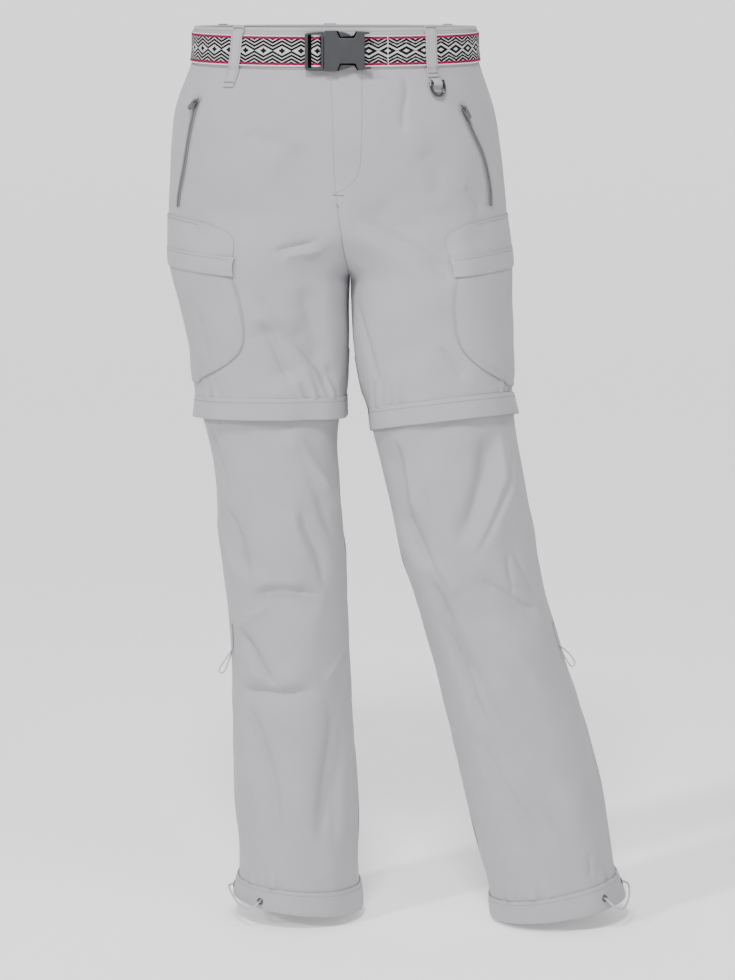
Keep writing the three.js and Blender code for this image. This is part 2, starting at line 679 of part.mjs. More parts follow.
function addPocketZip(leg) {
  const { line, turn } = POCKET_ZIPS[leg];
  addPiece(`pocket_zip_${leg}`, zipStripGeometry(leg, line, 9), ZIP_TAPE);
  const [angle, z] = line[0];
  const place = placeOnCloth(leg, angle, z + 1, LAYER_GAP + 2.3);
  const run = clothPoint(leg, ...line[1]).point.sub(clothPoint(leg, ...line[0]).point);
  run.applyQuaternion(place.quaternion.clone().invert());
  place.rotateZ(Math.atan2(run.x, -run.y) + turn);
  addPiece(`slider_${leg}`, sliderGeometry(), EYELET_METAL, place);
  const pull = addPiece(`pull_${leg}`, pullGeometry(), EYELET_METAL, place);
  pull.position.z = 2.6;
}

// A closed loop of round wire along a flat path
function wireLoopGeometry(path, radius, sides) {
  const middle = path.length;
  const positions = [];
  path.forEach((spot, k) => {
    const ahead = path[(k + 1) % middle];
    const behind = path[(k + middle - 1) % middle];
    const run = new THREE.Vector2().subVectors(ahead, behind).normalize();
    for (let s = 0; s < sides; s += 1) {
      const turn = (2 * Math.PI * s) / sides;
      const out = radius * Math.cos(turn);
      positions.push(spot.x + run.y * out, spot.y - run.x * out, radius * Math.sin(turn));
    }
  });
  const faces = [];
  for (let k = 0; k < middle; k += 1) {
    for (let s = 0; s < sides; s += 1) {
      const a = k * sides + s;
      const b = k * sides + ((s + 1) % sides);
      const c = ((k + 1) % middle) * sides + ((s + 1) % sides);
      const d = ((k + 1) % middle) * sides + s;
      faces.push(a, b, c, a, c, d);
    }
  }
  return closedGeometry(positions, faces);
}

// The ring's straight bar lies on the hinge line; its bow hangs below
function ringGeometry() {
  const half = (RING_WIDTH - RING_WIRE) / 2;
  const straight = 4.5;
  const bowSteps = 12;
  const path = [-half, -half / 2, half / 2, half].map((x) => new THREE.Vector2(x, 0));
  for (let k = 0; k <= bowSteps; k += 1) {
    const turn = (Math.PI * k) / bowSteps;
    const drop = (RING_DROP - straight) * Math.sin(turn);
    path.push(new THREE.Vector2(half * Math.cos(turn), -straight - drop));
  }
  return wireLoopGeometry(path, RING_WIRE / 2, 8);
}

function addRing() {
  const leg = 'left';
  const angle = 50;
  const bar = -32.5;
  const lift = LAYER_GAP + TRIM + RING_WIRE / 2 + 0.4;
  const place = placeOnCloth(leg, angle, bar, lift);
  place.rotateZ(RING_TURN);
  addPiece('d_ring', ringGeometry(), BLACK_METAL, place);
  const over = lift + RING_WIRE / 2 + 0.35;
  addPiece('ring_tab', strapGeometry(leg, 11, TRIM, [
    { angle, z: bar + 4.8, lift: LAYER_GAP },
    { angle, z: bar + 2.4, lift: over },
    { angle, z: bar - 2.6, lift: over },
    { angle, z: bar - 6.2, lift: LAYER_GAP },
    { angle, z: bar - 11.5, lift: LAYER_GAP },
  ]), STONE_CLOTH);
}

function eyeletGeometry() {
  const profile = [
    [EYELET_HOLE, 0], [EYELET_OUTER, 0], [EYELET_OUTER - 0.5, EYELET_HEIGHT],
    [EYELET_HOLE + 0.4, EYELET_HEIGHT], [EYELET_HOLE, 0],
  ];
  const geometry = new THREE.LatheGeometry(profile.map(([x, y]) => new THREE.Vector2(x, y)), 14);
  geometry.rotateX(Math.PI / 2);
  return weld(geometry);
}

function cordGeometry(route, diameter, steps) {
  const curve = new THREE.CatmullRomCurve3(route.map((spot) => new THREE.Vector3(...spot)));
  const section = new THREE.Shape();
  section.absarc(0, 0, diameter / 2, 0, 2 * Math.PI);
  const geometry = new THREE.ExtrudeGeometry(section, { steps, extrudePath: curve, curveSegments: 4 });
  return weld(geometry);
}

// The flap over the zip keeps the thigh's section and slides down along the leg
function bandRow(leg, share) {
  const z = BAND_TOP[leg] - BAND_HEIGHT * share;
  return {
    z,
    level: BAND_TOP[leg],
    lift: LAYER_GAP + TRIM + 1.6 * share,
    slide: LEGS[leg].bandSlide * BAND_HEIGHT * share,
  };
}

function addUpperLeg(leg) {
  const top = WAIST_SEAM - SEAM_GAP;
  const heights = [
    ...evenRows(top, RISE_TOP, 7),
    ...evenRows(RISE_TOP, CROTCH, 8).slice(1),
    ...evenRows(CROTCH, THIGH_END[leg], 6).slice(1),
  ];
  addPiece(`front_${leg}`, panelGeometry(leg, true, heights, 11), STONE_CLOTH);
  addPiece(`back_${leg}`, panelGeometry(leg, false, heights, 11), STONE_CLOTH);
  const pocketRows = POCKET_ROWS.map((row) => ({
    ...row,
    z: row.z - POCKET_FOOT[leg] * smooth((-300 - row.z) / 81),
  }));
  addPiece(`cargo_pocket_${leg}`, sidePatchGeometry(leg, pocketRows, 18, POCKET_GAP), STONE_CLOTH);
  const flapLift = POCKET_GAP + TRIM + LAYER_GAP;
  addPiece(`cargo_flap_${leg}`, sidePatchGeometry(leg, FLAP_ROWS, 18, flapLift), STONE_CLOTH);
  addPiece(`zip_flap_${leg}`, legRingGeometry(leg, 22, 2, TRIM, (share) => bandRow(leg, share)), STONE_CLOTH);
  addPocketZip(leg);
}

function addLowerLeg(leg) {
  const zipTop = THIGH_END[leg] - SEAM_GAP;
  const zipBottom = zipTop - ZIP_RING_HEIGHT;
  addPiece(`leg_zip_${leg}`, legRingGeometry(leg, 22, 1, CLOTH, (share) => (
    { z: mix(zipTop, zipBottom, share), lift: 0 }
  )), ZIP_TAPE);
  const { hem } = LEGS[leg];
  const heights = evenRows(zipBottom - SEAM_GAP, hem + 2, 22);
  addPiece(`lower_front_${leg}`, panelGeometry(leg, true, heights, 10), STONE_CLOTH);
  addPiece(`lower_back_${leg}`, panelGeometry(leg, false, heights, 10), STONE_CLOTH);
  const hemLift = LAYER_GAP + DOUBLE_CLOTH;
  addPiece(`hem_${leg}`, legRingGeometry(leg, 20, 2, DOUBLE_CLOTH, (share) => (
    { z: hem + HEM_HEIGHT * (1 - share), lift: hemLift }
  )), STONE_CLOTH);
  EYELETS[leg].forEach(([angle, z], k) => {
    const place = placeOnCloth(leg, angle, z, hemLift + SEAM_GAP);
    addPiece(`eyelet_${leg}_${k === 0 ? 'front' : 'side'}`, eyeletGeometry(), EYELET_METAL, place);
  });
  addPiece(`hem_cord_${leg}`, cordGeometry(HEM_CORD_ROUTES[leg], HEM_CORD, 14), ELASTIC);
  const { from, to, lift } = ROLL_TABS[leg];
  addPiece(`roll_tab_${leg}`, strapGeometry(leg, 6.5, TRIM, evenRows(0, 1, 3).map((share) => ({
    angle: mix(from[0], to[0], share),
    z: mix(from[1], to[1], share),
    lift,
  }))), STONE_CLOTH);
  addPiece(`roll_cord_${leg}`, cordGeometry(ROLL_CORD_ROUTES[leg], ROLL_CORD, 14), ELASTIC);
}

function addWaist() {
  addPiece('waistband', waistbandGeometry(), STONE_CLOTH);
  addPiece('belt', beltGeometry(), WEBBING);
  for (const loop of BELT_LOOPS) addPiece(loop.name, beltLoopGeometry(loop), STONE_CLOTH);
  addPiece('fly', flyGeometry(), STONE_CLOTH);
  addBuckle();
  addRing();
}

addWaist();
for (const leg of ['right', 'left']) {
  addUpperLeg(leg);
  addLowerLeg(leg);
}

export default trousers;
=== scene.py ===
import math
import bmesh
import bpy
import numpy as np
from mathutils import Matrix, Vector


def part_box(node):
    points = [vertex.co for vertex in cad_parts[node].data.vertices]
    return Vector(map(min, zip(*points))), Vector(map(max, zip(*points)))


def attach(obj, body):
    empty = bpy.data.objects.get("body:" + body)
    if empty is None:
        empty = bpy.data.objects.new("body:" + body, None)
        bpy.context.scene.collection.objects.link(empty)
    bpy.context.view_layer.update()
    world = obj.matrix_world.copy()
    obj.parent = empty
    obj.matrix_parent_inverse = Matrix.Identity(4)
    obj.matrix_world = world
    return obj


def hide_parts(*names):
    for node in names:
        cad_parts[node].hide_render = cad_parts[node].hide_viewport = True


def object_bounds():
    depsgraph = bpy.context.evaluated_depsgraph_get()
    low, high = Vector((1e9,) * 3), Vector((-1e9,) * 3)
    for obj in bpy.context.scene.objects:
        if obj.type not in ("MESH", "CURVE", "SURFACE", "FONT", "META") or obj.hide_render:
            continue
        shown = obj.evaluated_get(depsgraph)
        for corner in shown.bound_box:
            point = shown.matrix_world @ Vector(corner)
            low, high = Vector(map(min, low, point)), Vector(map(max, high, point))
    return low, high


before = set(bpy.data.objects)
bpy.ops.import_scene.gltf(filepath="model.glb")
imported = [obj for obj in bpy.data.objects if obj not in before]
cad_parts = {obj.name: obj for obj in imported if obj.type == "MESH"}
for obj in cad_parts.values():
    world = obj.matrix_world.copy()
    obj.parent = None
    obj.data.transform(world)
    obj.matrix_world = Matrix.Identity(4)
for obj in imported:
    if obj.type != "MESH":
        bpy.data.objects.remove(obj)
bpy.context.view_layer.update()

# Camera: a long lens 3.4 m in front of the trousers and a little above the waist, tilted down so that
# the hems fall low in the frame.
CAMERA_PLACE, CAMERA_TILT, CAMERA_LENS = (0.038, -3.4, 0.05), 9.35, 108.73
camera_data = bpy.data.cameras.new("camera")
camera_data.sensor_width, camera_data.lens = 36, CAMERA_LENS
camera = bpy.data.objects.new("camera", camera_data)
camera.location = CAMERA_PLACE
camera.rotation_euler = (math.radians(90 - CAMERA_TILT), 0, 0)
bpy.context.scene.collection.objects.link(camera)
bpy.context.scene.camera = camera


# Elastic cords: braided covered elastic, thin and limp. Two drawcords run out of eyelets in the hems,
# and two finer loops hang from the roll-up tabs at the calves.
def linear(hex_colour, alpha=1):
    """An sRGB hex colour as linear numbers."""
    parts = [int(hex_colour[k:k + 2], 16) / 255 for k in (1, 3, 5)]
    return [c / 12.92 if c <= 0.04045 else ((c + 0.055) / 1.055) ** 2.4 for c in parts] + [alpha]


def add_node(tree, kind, inputs=None, **settings):
    """Adds a node, sets its fields, and sets or links its inputs."""
    node = tree.nodes.new(kind)
    for name, value in settings.items():
        setattr(node, name, value)
    for name, value in (inputs or {}).items():
        if isinstance(value, bpy.types.NodeSocket):
            tree.links.new(value, node.inputs[name])
        else:
            node.inputs[name].default_value = value
    return node


def new_material(name, **sockets):
    """A material with its Principled shader's own sockets set."""
    material = bpy.data.materials.new(name)
    material.use_nodes = True
    shader = material.node_tree.nodes["Principled BSDF"]
    for socket, value in sockets.items():
        shader.inputs[socket.replace("_", " ")].default_value = value
    return material, material.node_tree, shader


def smooth_path(points, count):
    """Even points on a smooth curve through a few given ones."""
    points = np.array(points, float)
    steps = np.r_[0, np.cumsum(np.linalg.norm(np.diff(points, axis=0), axis=1))]
    slope = np.gradient(points, steps, axis=0)
    at = np.linspace(0, steps[-1], count)
    k = np.clip(np.searchsorted(steps, at, side="right") - 1, 0, len(points) - 2)
    span = (steps[k + 1] - steps[k])[:, None]
    t = ((at - steps[k])[:, None]) / span
    return ((2 * t**3 - 3 * t**2 + 1) * points[k] + (t**3 - 2 * t**2 + t) * span * slope[k]
            + (3 * t**2 - 2 * t**3) * points[k + 1] + (t**3 - t**2) * span * slope[k + 1])


def blend(tree, factor, first, second):
    """The colour between two by a factor. Each colour is a hex or a socket."""
    given = {0: factor, 6: first, 7: second}
    given = {key: linear(value) if isinstance(value, str) else value for key, value in given.items()}
    return add_node(tree, "ShaderNodeMix", given, data_type="RGBA").outputs[2]


def object_texture(tree, kind, sizes, **settings):
    """A texture's strength on the piece's Object coordinates."""
    coords = add_node(tree, "ShaderNodeTexCoord")
    given = {"Vector": coords.outputs["Object"], **sizes}
    return add_node(tree, f"ShaderNodeTex{kind}", given, **settings).outputs["Fac"]


def colour(tree, shader, factor, dark, light):
    """Colours a surface between a dark and a light hex by a texture."""
    tree.links.new(blend(tree, factor, dark, light), shader.inputs["Base Color"])


def relief(tree, height, strength, depth, **under):
    """The normal of a fine relief as deep as given, in metres, on top of any under it."""
    given = {"Height": height, "Strength": strength, "Distance": depth, **under}
    return add_node(tree, "ShaderNodeBump", given).outputs["Normal"]


# Braided polyester over elastic: matt, light grey, with a fine diagonal rib every 1.2 mm.
elastic, tree, shader = new_material("braided elastic", Roughness=0.75, IOR=1.5)
ribs = object_texture(tree, "Wave", {"Scale": 260, "Distortion": 2}, bands_direction="DIAGONAL")
colour(tree, shader, ribs, "#9c9ca0", "#bdbdc0")
tree.links.new(relief(tree, ribs, 0.4, 0.0003), shader.inputs["Normal"])


def elastic_cord(name, route_mm, diameter):
    """A cord as one open spline through its route."""
    curve = bpy.data.curves.new(name, "CURVE")
    curve.dimensions = "3D"
    curve.bevel_depth = diameter / 2
    curve.bevel_resolution = 3
    curve.use_fill_caps = True
    spline = curve.splines.new("POLY")
    path = smooth_path(route_mm, 40) / 1000
    spline.points.add(len(path) - 1)
    for point, place in zip(spline.points, path):
        point.co = (*place, 1)
    cord = bpy.data.objects.new(f"{name}_braid", curve)
    bpy.context.scene.collection.objects.link(cord)
    curve.materials.append(elastic)
    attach(cord, "garment")
    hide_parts(name)


elastic_cord("hem_cord_right", [
    (-88.3, -52.1, -990.7), (-90.2, -55.3, -991.1), (-93.4, -58.0, -993.4), (-97.6, -58.2, -996.8),
    (-102.8, -54.6, -999.0), (-108.4, -47.4, -998.8), (-114.0, -37.6, -997.2), (-119.0, -26.0, -995.0),
    (-122.8, -14.6, -992.2), (-126.0, -4.4, -989.6), (-127.0, 1.4, -987.4), (-125.0, 4.0, -986.2),
    (-121.6, 4.1, -985.8)], 0.0024)
elastic_cord("hem_cord_left", [
    (316.4, -56.6, -985.6), (318.6, -59.6, -986.2), (322.4, -62.6, -989.2), (327.6, -62.6, -993.8),
    (333.2, -58.8, -997.8), (338.4, -51.2, -999.2), (342.8, -41.4, -997.4), (346.2, -30.8, -992.8),
    (348.0, -20.6, -986.8), (347.0, -13.4, -981.0), (343.6, -11.2, -978.6), (340.2, -10.8, -978.2)],
    0.0024)
elastic_cord("roll_cord_right", [
    (-120.9, -16.6, -696.2), (-122.8, -17.6, -699.6), (-125.8, -18.9, -703.8), (-129.6, -20.4, -709.4),
    (-133.2, -21.6, -714.8), (-135.6, -22.2, -719.8), (-133.0, -22.2, -723.2), (-129.4, -21.4, -720.8),
    (-126.4, -19.8, -715.0), (-123.6, -17.4, -707.8), (-121.5, -14.8, -701.0), (-120.7, -13.4, -696.2)],
    0.0018)
elastic_cord("roll_cord_left", [
    (261.0, -30.8, -686.7), (263.5, -31.4, -689.4), (268.4, -32.3, -693.2), (273.6, -33.0, -698.2),
    (277.8, -33.2, -704.4), (279.4, -33.2, -709.4), (276.6, -33.0, -712.4), (272.8, -32.4, -709.6),
    (269.2, -31.6, -704.0), (266.0, -30.4, -698.0), (263.2, -29.0, -691.8), (261.2, -27.8, -686.7)],
    0.0018)

# Upper legs: two fronts and two backs of plain-woven nylon, cut to shape and sewn at the side seams,
# the inseams and the centre seams. They are made first, and every other piece is sewn to them.
WAIST_SEAM, RISE_TOP, CROTCH = -17, -177, -262
THIGH_END = {"right": -402, "left": -408}
SEAM_GAP, SQUARENESS, SHELL, TAUT = 0.3, 2.2, 0.9, 0.38
# Each row: height, outermost x, innermost x, foremost y, rearmost y, lean, nod
RIGHT_SECTIONS = np.array([
    (24, -159, -2, -101, 104, 0, 0.01), (-17, -162, -2, -105, 110, 0, 0.055),
    (-38, -170, -2, -107, 115, 0, 0.05), (-60, -178, -1, -108, 120, 0, 0.03),
    (-105, -185, 0, -108, 127, 0, 0.01), (-150, -189, 2, -106, 130, 0, 0),
    (-177, -190, 5, -104, 130, 0, 0), (-219, -189, 11, -101, 124, 0, 0),
    (-262, -184, 18, -98, 113, 0, -0.01), (-288, -177, 17, -96, 105, 0, -0.01),
    (-334, -167, 17, -93, 92, 0, -0.03), (-381, -163, 15, -90, 83, 0, -0.06),
    (-403, -160, 13, -88, 79, 0, -0.07), (-418, -154, 7, -84, 76, 0, -0.06),
    (-451, -146, 3, -79, 72, 0, -0.04), (-498, -138, 6, -77, 70, 0, -0.02),
    (-545, -136, 9, -77, 69, 0, 0), (-593, -132, 14, -74, 69, 0, 0),
    (-640, -127, 15, -69, 72, 0.01, 0), (-688, -122, 16, -65, 76, 0.02, 0),
    (-785, -121, 21, -62, 80, 0.03, 0), (-882, -119, 27, -58, 79, 0.05, 0),
    (-976, -115, 28, -57, 77, 0.07, 0), (-1005, -119, 30, -60, 79, 0.12, 0)], float)
LEFT_SECTIONS = np.array([
    (24, 162, -2, -101, 104, 0, 0.01), (-17, 165, -2, -105, 110, 0, 0.055),
    (-38, 172, -2, -107, 115, 0, 0.05), (-60, 179, -1, -108, 120, 0, 0.03),
    (-105, 188, 0, -108, 127, 0, 0.01), (-150, 195, 2, -106, 130, 0, 0),
    (-177, 197, 5, -105, 130, 0, 0), (-219, 200, 11, -103, 122, 0, 0),
    (-262, 202, 18, -102, 110, 0, -0.01), (-288, 202, 19, -103, 100, 0.02, -0.05),
    (-334, 204, 22, -105, 84, 0.06, -0.1), (-381, 205, 31, -108, 70, 0.09, -0.14),
    (-408, 205, 40, -108, 64, 0.12, -0.16), (-425, 206, 44, -105, 60, 0.14, -0.15),
    (-458, 211, 53, -102, 54, 0.17, -0.1), (-490, 216, 61, -102, 50, 0.19, -0.05),
    (-530, 223, 69, -102, 46, 0.2, 0), (-570, 231, 78, -98, 48, 0.21, 0),
    (-610, 238, 91, -92, 50, 0.22, 0), (-650, 247, 103, -86, 54, 0.23, 0),
    (-690, 258, 115, -82, 58, 0.24, 0), (-730, 270, 125, -79, 61, 0.24, 0),
    (-770, 284, 134, -76, 63, 0.24, 0), (-850, 307, 153, -72, 64, 0.24, 0),
    (-930, 324, 172, -69, 64, 0.23, 0), (-980, 332, 184, -68, 63, 0.2, 0),
    (-1008, 342, 187, -71, 66, 0.16, 0)], float)
LEGS = {"right": (-1, RIGHT_SECTIONS), "left": (1, LEFT_SECTIONS)}
# Folds: width, height (a trough is negative), lean to one side, and the line as angle round the leg
# (0 at the side seam, front positive, 180 at the inseam) and height. On each leg the broad folds come
# first, of the front and then of the back, and after them the finer creases in the same order.
FOLDS = {
    "right": [
        (14, -3.9, 0, [(24, -524), (50, -560), (57, -604)]),
        (16, 5.2, 0, [(97, -428), (119, -472), (146, -512)]),
        (15, -4.6, -0.3, [(38, -662), (54, -688), (70, -712), (82, -734)]),
        (14, -4.4, 0.3, [(56, -632), (80, -626), (104, -628), (126, -642)]),
        (12, 3.2, 0, [(57, -612), (84, -606), (108, -611)]),
        (12, -5, 0, [(30, -744), (76, -742), (118, -736)]),
        (16, 3.4, 0, [(32, -722), (76, -718), (112, -716)]),
        (15, -5, -0.6, [(36, -756), (54, -790), (68, -832), (76, -900)]),
        (15, -6.2, 0.75, [(120, -735), (129, -776), (123, -812), (114, -852), (106, -930)]),
        (18, -6.8, 0, [(88, -300), (96, -340), (106, -385)]),
        (18, -6.8, 0, [(104, -300), (122, -342), (150, -388)]),
        (18, -6.5, 0, [(-30, -560), (-70, -590), (-120, -600)]),
        (20, 6.5, 0, [(-35, -640), (-80, -655), (-130, -648)]),
        (18, -5.2, 0, [(-60, -740), (-100, -790), (-110, -880)]),
        (22, -6.5, 0, [(-128, -306), (-98, -320), (-62, -312)]),
        (7, 2.5, 0.4, [(70, -30), (74, -90), (72, -150)]),
        (10, -2.9, 0, [(60, -88), (67, -100), (77, -105)]),
        (8, -4, 0, [(79, -98), (82, -127), (86, -155), (87, -176)]),
        (5, -4, 0.5, [(88, -226), (94, -219), (100, -213)]),
        (6, 3.4, 0, [(94, -231), (102, -227), (112, -225)]),
        (15, -5.1, 0, [(114, -262), (126, -316), (134, -362)]),
        (5, -3.8, 0.4, [(79, -260), (90, -283), (103, -323), (138, -376)]),
        (4.5, -3.6, 0.6, [(86, -298), (92, -330), (98, -359), (108, -382)]),
        (4, -2.5, 0, [(45, -298), (43, -323), (44, -348)]),
        (5, -3.4, 0.4, [(29, -424), (32, -463), (40, -503)]),
        (9, 4.4, 0, [(98, -424), (120, -469), (146, -506), (176, -545)]),
        (9, -4.6, -0.5, [(107, -430), (119, -468), (134, -512), (148, -562)]),
        (7, -4.4, 0.4, [(108, -512), (112, -544), (122, -572), (127, -617)]),
        (6, 2.4, 0, [(101, -514), (106, -550), (116, -586)]),
        (5, -4, 0.6, [(28, -518), (46, -539), (53, -561), (59, -612)]),
        (7, 3.4, 0, [(4, -534), (30, -567), (46, -613)]),
        (5, -4, 0.5, [(60, -624), (79, -616), (92, -615), (128, -624)]),
        (15, -3, 0, [(58, -635), (94, -637), (164, -641)]),
        (5, 3.2, 0, [(36, -666), (58, -649), (80, -632)]),
        (4.5, -3.6, 0.6, [(36, -662), (54, -692), (64, -710), (80, -734)]),
        (7, 3.4, 0, [(36, -686), (53, -711), (70, -732)]),
        (5, -4, 0.5, [(34, -742), (62, -739), (84, -741), (112, -735)]),
        (8, -4, 0.5, [(35, -744), (58, -789), (70, -835), (74, -896), (80, -938)]),
        (6, 2.7, 0, [(166, -683), (142, -705), (122, -728)]),
        (12, -3.4, 0.5, [(146, -756), (140, -806), (128, -858), (122, -940)]),
        (4, -2.2, 0, [(16, -934), (30, -951), (40, -968)]),
        (6, -2.1, 0.5, [(-40, -566), (-78, -588), (-118, -592)]),
        (7, -2.3, -0.5, [(-50, -612), (-92, -622), (-140, -612)]),
        (7, -2.1, 0.5, [(-70, -700), (-104, -716), (-140, -704)]),
        (7, -1.8, 0.5, [(-80, -430), (-112, -462), (-140, -480)]),
        (8, -2.1, -0.4, [(-84, -820), (-96, -868), (-92, -930)]),
        (8, -2.9, 0.4, [(-110, -200), (-94, -236), (-70, -262)]),
    ],
    "left": [
        (17, -6.8, 0, [(134, -436), (144, -462), (145, -505), (122, -568)]),
        (17, -6.5, 0, [(38, -436), (60, -476), (79, -529), (96, -562)]),
        (15, 6, 0, [(24, -440), (44, -508), (62, -536), (84, -575)]),
        (15, -5.2, 0, [(92, -590), (78, -616), (60, -643), (32, -662)]),
        (16, -5.8, -0.5, [(137, -578), (130, -628), (124, -680), (112, -727), (106, -778), (97, -826)]),
        (16, -4.2, 0, [(106, -614), (84, -672), (62, -742)]),
        (17, -6.2, -0.5, [(122, -770), (110, -806), (96, -840), (84, -880), (74, -930)]),
        (20, -5.1, 0, [(84, -172), (72, -205), (64, -235)]),
        (18, -5.2, 0, [(-40, -560), (-80, -585), (-130, -590)]),
        (18, 5.2, 0, [(-30, -640), (-70, -662), (-120, -668)]),
        (18, -5.2, 0, [(-70, -750), (-100, -820), (-100, -910)]),
        (22, -6.5, 0, [(-126, -306), (-96, -318), (-60, -310)]),
        (4, -3.2, 0.6, [(63, -20), (63, -43), (66, -67), (67, -96)]),
        (12, -3.4, 0, [(62, -106), (56, -134), (56, -172)]),
        (5, -2.9, 0.4, [(43, -150), (39, -164), (33, -181)]),
        (3, -2.4, 0, [(94, -182), (98, -194), (105, -208)]),
        (13, -6.5, 0, [(84, -166), (86, -191), (85, -219), (76, -264)]),
        (5, -3.4, 0.4, [(85, -172), (85, -184), (86, -200)]),
        (7, -4.6, 0.4, [(156, -280), (144, -334), (135, -386)]),
        (4, -3.2, 0.5, [(88, -338), (80, -357), (71, -382)]),
        (4, -2.7, 0, [(69, -349), (50, -368), (32, -388)]),
        (5.5, -4.4, -0.5, [(138, -432), (138, -463), (141, -492), (146, -516)]),
        (7, 3.1, 0, [(130, -456), (132, -489), (131, -517)]),
        (5.5, -4.4, 0.5, [(147, -502), (134, -538), (118, -582)]),
        (12, -5, 0.3, [(154, -507), (142, -542), (128, -576)]),
        (3, -1.5, 0, [(116, -482), (116, -501), (116, -521)]),
        (9, -4.5, 0.3, [(57, -443), (67, -486), (80, -520), (97, -561)]),
        (7, 5.1, 0, [(41, -432), (50, -494), (71, -534), (92, -574)]),
        (5, -4, 0.6, [(27, -449), (42, -500), (65, -537), (88, -579)]),
        (7, 3.7, 0, [(119, -565), (113, -589), (107, -615)]),
        (4.5, -3.4, 0.4, [(128, -590), (123, -617), (121, -643)]),
        (3.5, -2.8, 0.5, [(57, -571), (61, -594), (60, -620), (65, -633)]),
        (3.5, -2.8, 0.5, [(54, -569), (44, -608), (32, -642)]),
        (4, -3.2, 0.5, [(87, -598), (66, -625), (50, -644), (28, -656)]),
        (3.5, -2.5, 0, [(60, -613), (46, -626), (30, -640)]),
        (7, -5.6, 0.5, [(133, -632), (127, -668), (122, -696), (118, -737), (111, -776)]),
        (10, 3.4, 0, [(92, -641), (76, -687), (57, -745)]),
        (10, -5, 0.4, [(127, -770), (118, -804), (110, -841), (96, -888), (82, -941)]),
        (5, -2, 0.3, [(12, -775), (9, -868), (6, -976)]),
        (3, -2.4, 0, [(54, -938), (55, -956), (56, -972)]),
        (3, -2.4, 0, [(38, -936), (39, -953), (40, -969)]),
        (6, -2.1, 0.5, [(-44, -566), (-80, -586), (-126, -592)]),
        (7, -2.3, -0.5, [(-52, -618), (-92, -630), (-140, -622)]),
        (7, -2.1, 0.5, [(-64, -704), (-100, -722), (-140, -716)]),
        (7, -1.8, 0.5, [(-76, -432), (-110, -460), (-140, -484)]),
        (8, -2.1, -0.4, [(-84, -830), (-96, -880), (-90, -944)]),
        (8, -2.9, 0.4, [(-112, -204), (-96, -238), (-72, -262)]),
    ],
}
CRISP = 7.5  # narrower folds have a sharp line, wider ones are round
SHARP_FALL, ROUND_FALL = 1.15, 1.8
HELD_ABOVE = -345  # above this height the seams hold the cloth flat beside them
# Gathers of the cloth at a band: leg, level of the band, reach, and the middle and width of each bunch
# as angles
GATHERS = [
    ("right", -397, 26, 128, 34), ("right", -397, 20, 40, 24), ("right", -397, 24, -110, 60),
    ("left", -402, 28, 140, 30), ("left", -402, 24, 26, 20), ("left", -402, 24, -110, 60),
    ("left", -980, 22, 24, 26), ("right", -977, 16, 60, 40), ("left", -980, 16, 120, 40),
    ("right", -977, 18, -80, 60), ("left", -980, 18, -80, 60),
]


def clamp01(value):
    return np.clip(value, 0, 1)


def smooth(value):
    value = clamp01(value)
    return value * value * (3 - 2 * value)


def section_at(leg, z):
    """The leg's section at each height; above the crotch both legs share one opening."""
    side, rows = LEGS[leg]
    heights, values = rows[::-1, 0], rows[::-1, 1:]
    z = np.clip(np.asarray(z, float), heights[0], heights[-1])
    span = np.diff(heights)[:, None]
    rate = np.diff(values, axis=0) / span
    slope = np.empty_like(values)
    slope[1:-1] = (rate[:-1] * span[1:] + rate[1:] * span[:-1]) / (span[:-1] + span[1:])
    slope[0], slope[-1] = rate[0], rate[-1]
    k = np.clip(np.searchsorted(heights, z, side="right") - 1, 0, len(heights) - 2)
    step = span[k, 0][..., None]
    t = (z - heights[k])[..., None] / step
    cells = ((2 * t**3 - 3 * t**2 + 1) * values[k] + (t**3 - 2 * t**2 + t) * step * slope[k]
             + (3 * t**2 - 2 * t**3) * values[k + 1] + (t**3 - t**2) * step * slope[k + 1])
    outer, inner, front, back, lean, nod = np.moveaxis(cells, -1, 0)
    inner = inner + side * SEAM_GAP / 2
    split = smooth((RISE_TOP - z) / (RISE_TOP - CROTCH))
    half = np.abs(outer - inner) / (1 + split)
    seam = (front + back) / 2
    return {"side": side, "split": split, "half": half, "seam": seam, "lean": lean, "nod": nod,
            "middle": inner + side * split * half, "to_front": seam - front, "to_back": back - seam}


def first_angle(leg, z):
    """Where a section starts: half a seam's gap from the side seam."""
    s = section_at(leg, z)
    return np.degrees(np.arcsin((SEAM_GAP / (s["to_front"] + s["to_back"])) ** (SQUARENESS / 2)))


def last_angle(leg, z):
    """Where a section stops: the centre seam above the crotch, the inseam below it."""
    to_centre = np.degrees(np.arccos(-(section_at(leg, z)["split"] ** (SQUARENESS / 2))))
    return np.minimum(to_centre, 180 - first_angle(leg, z))


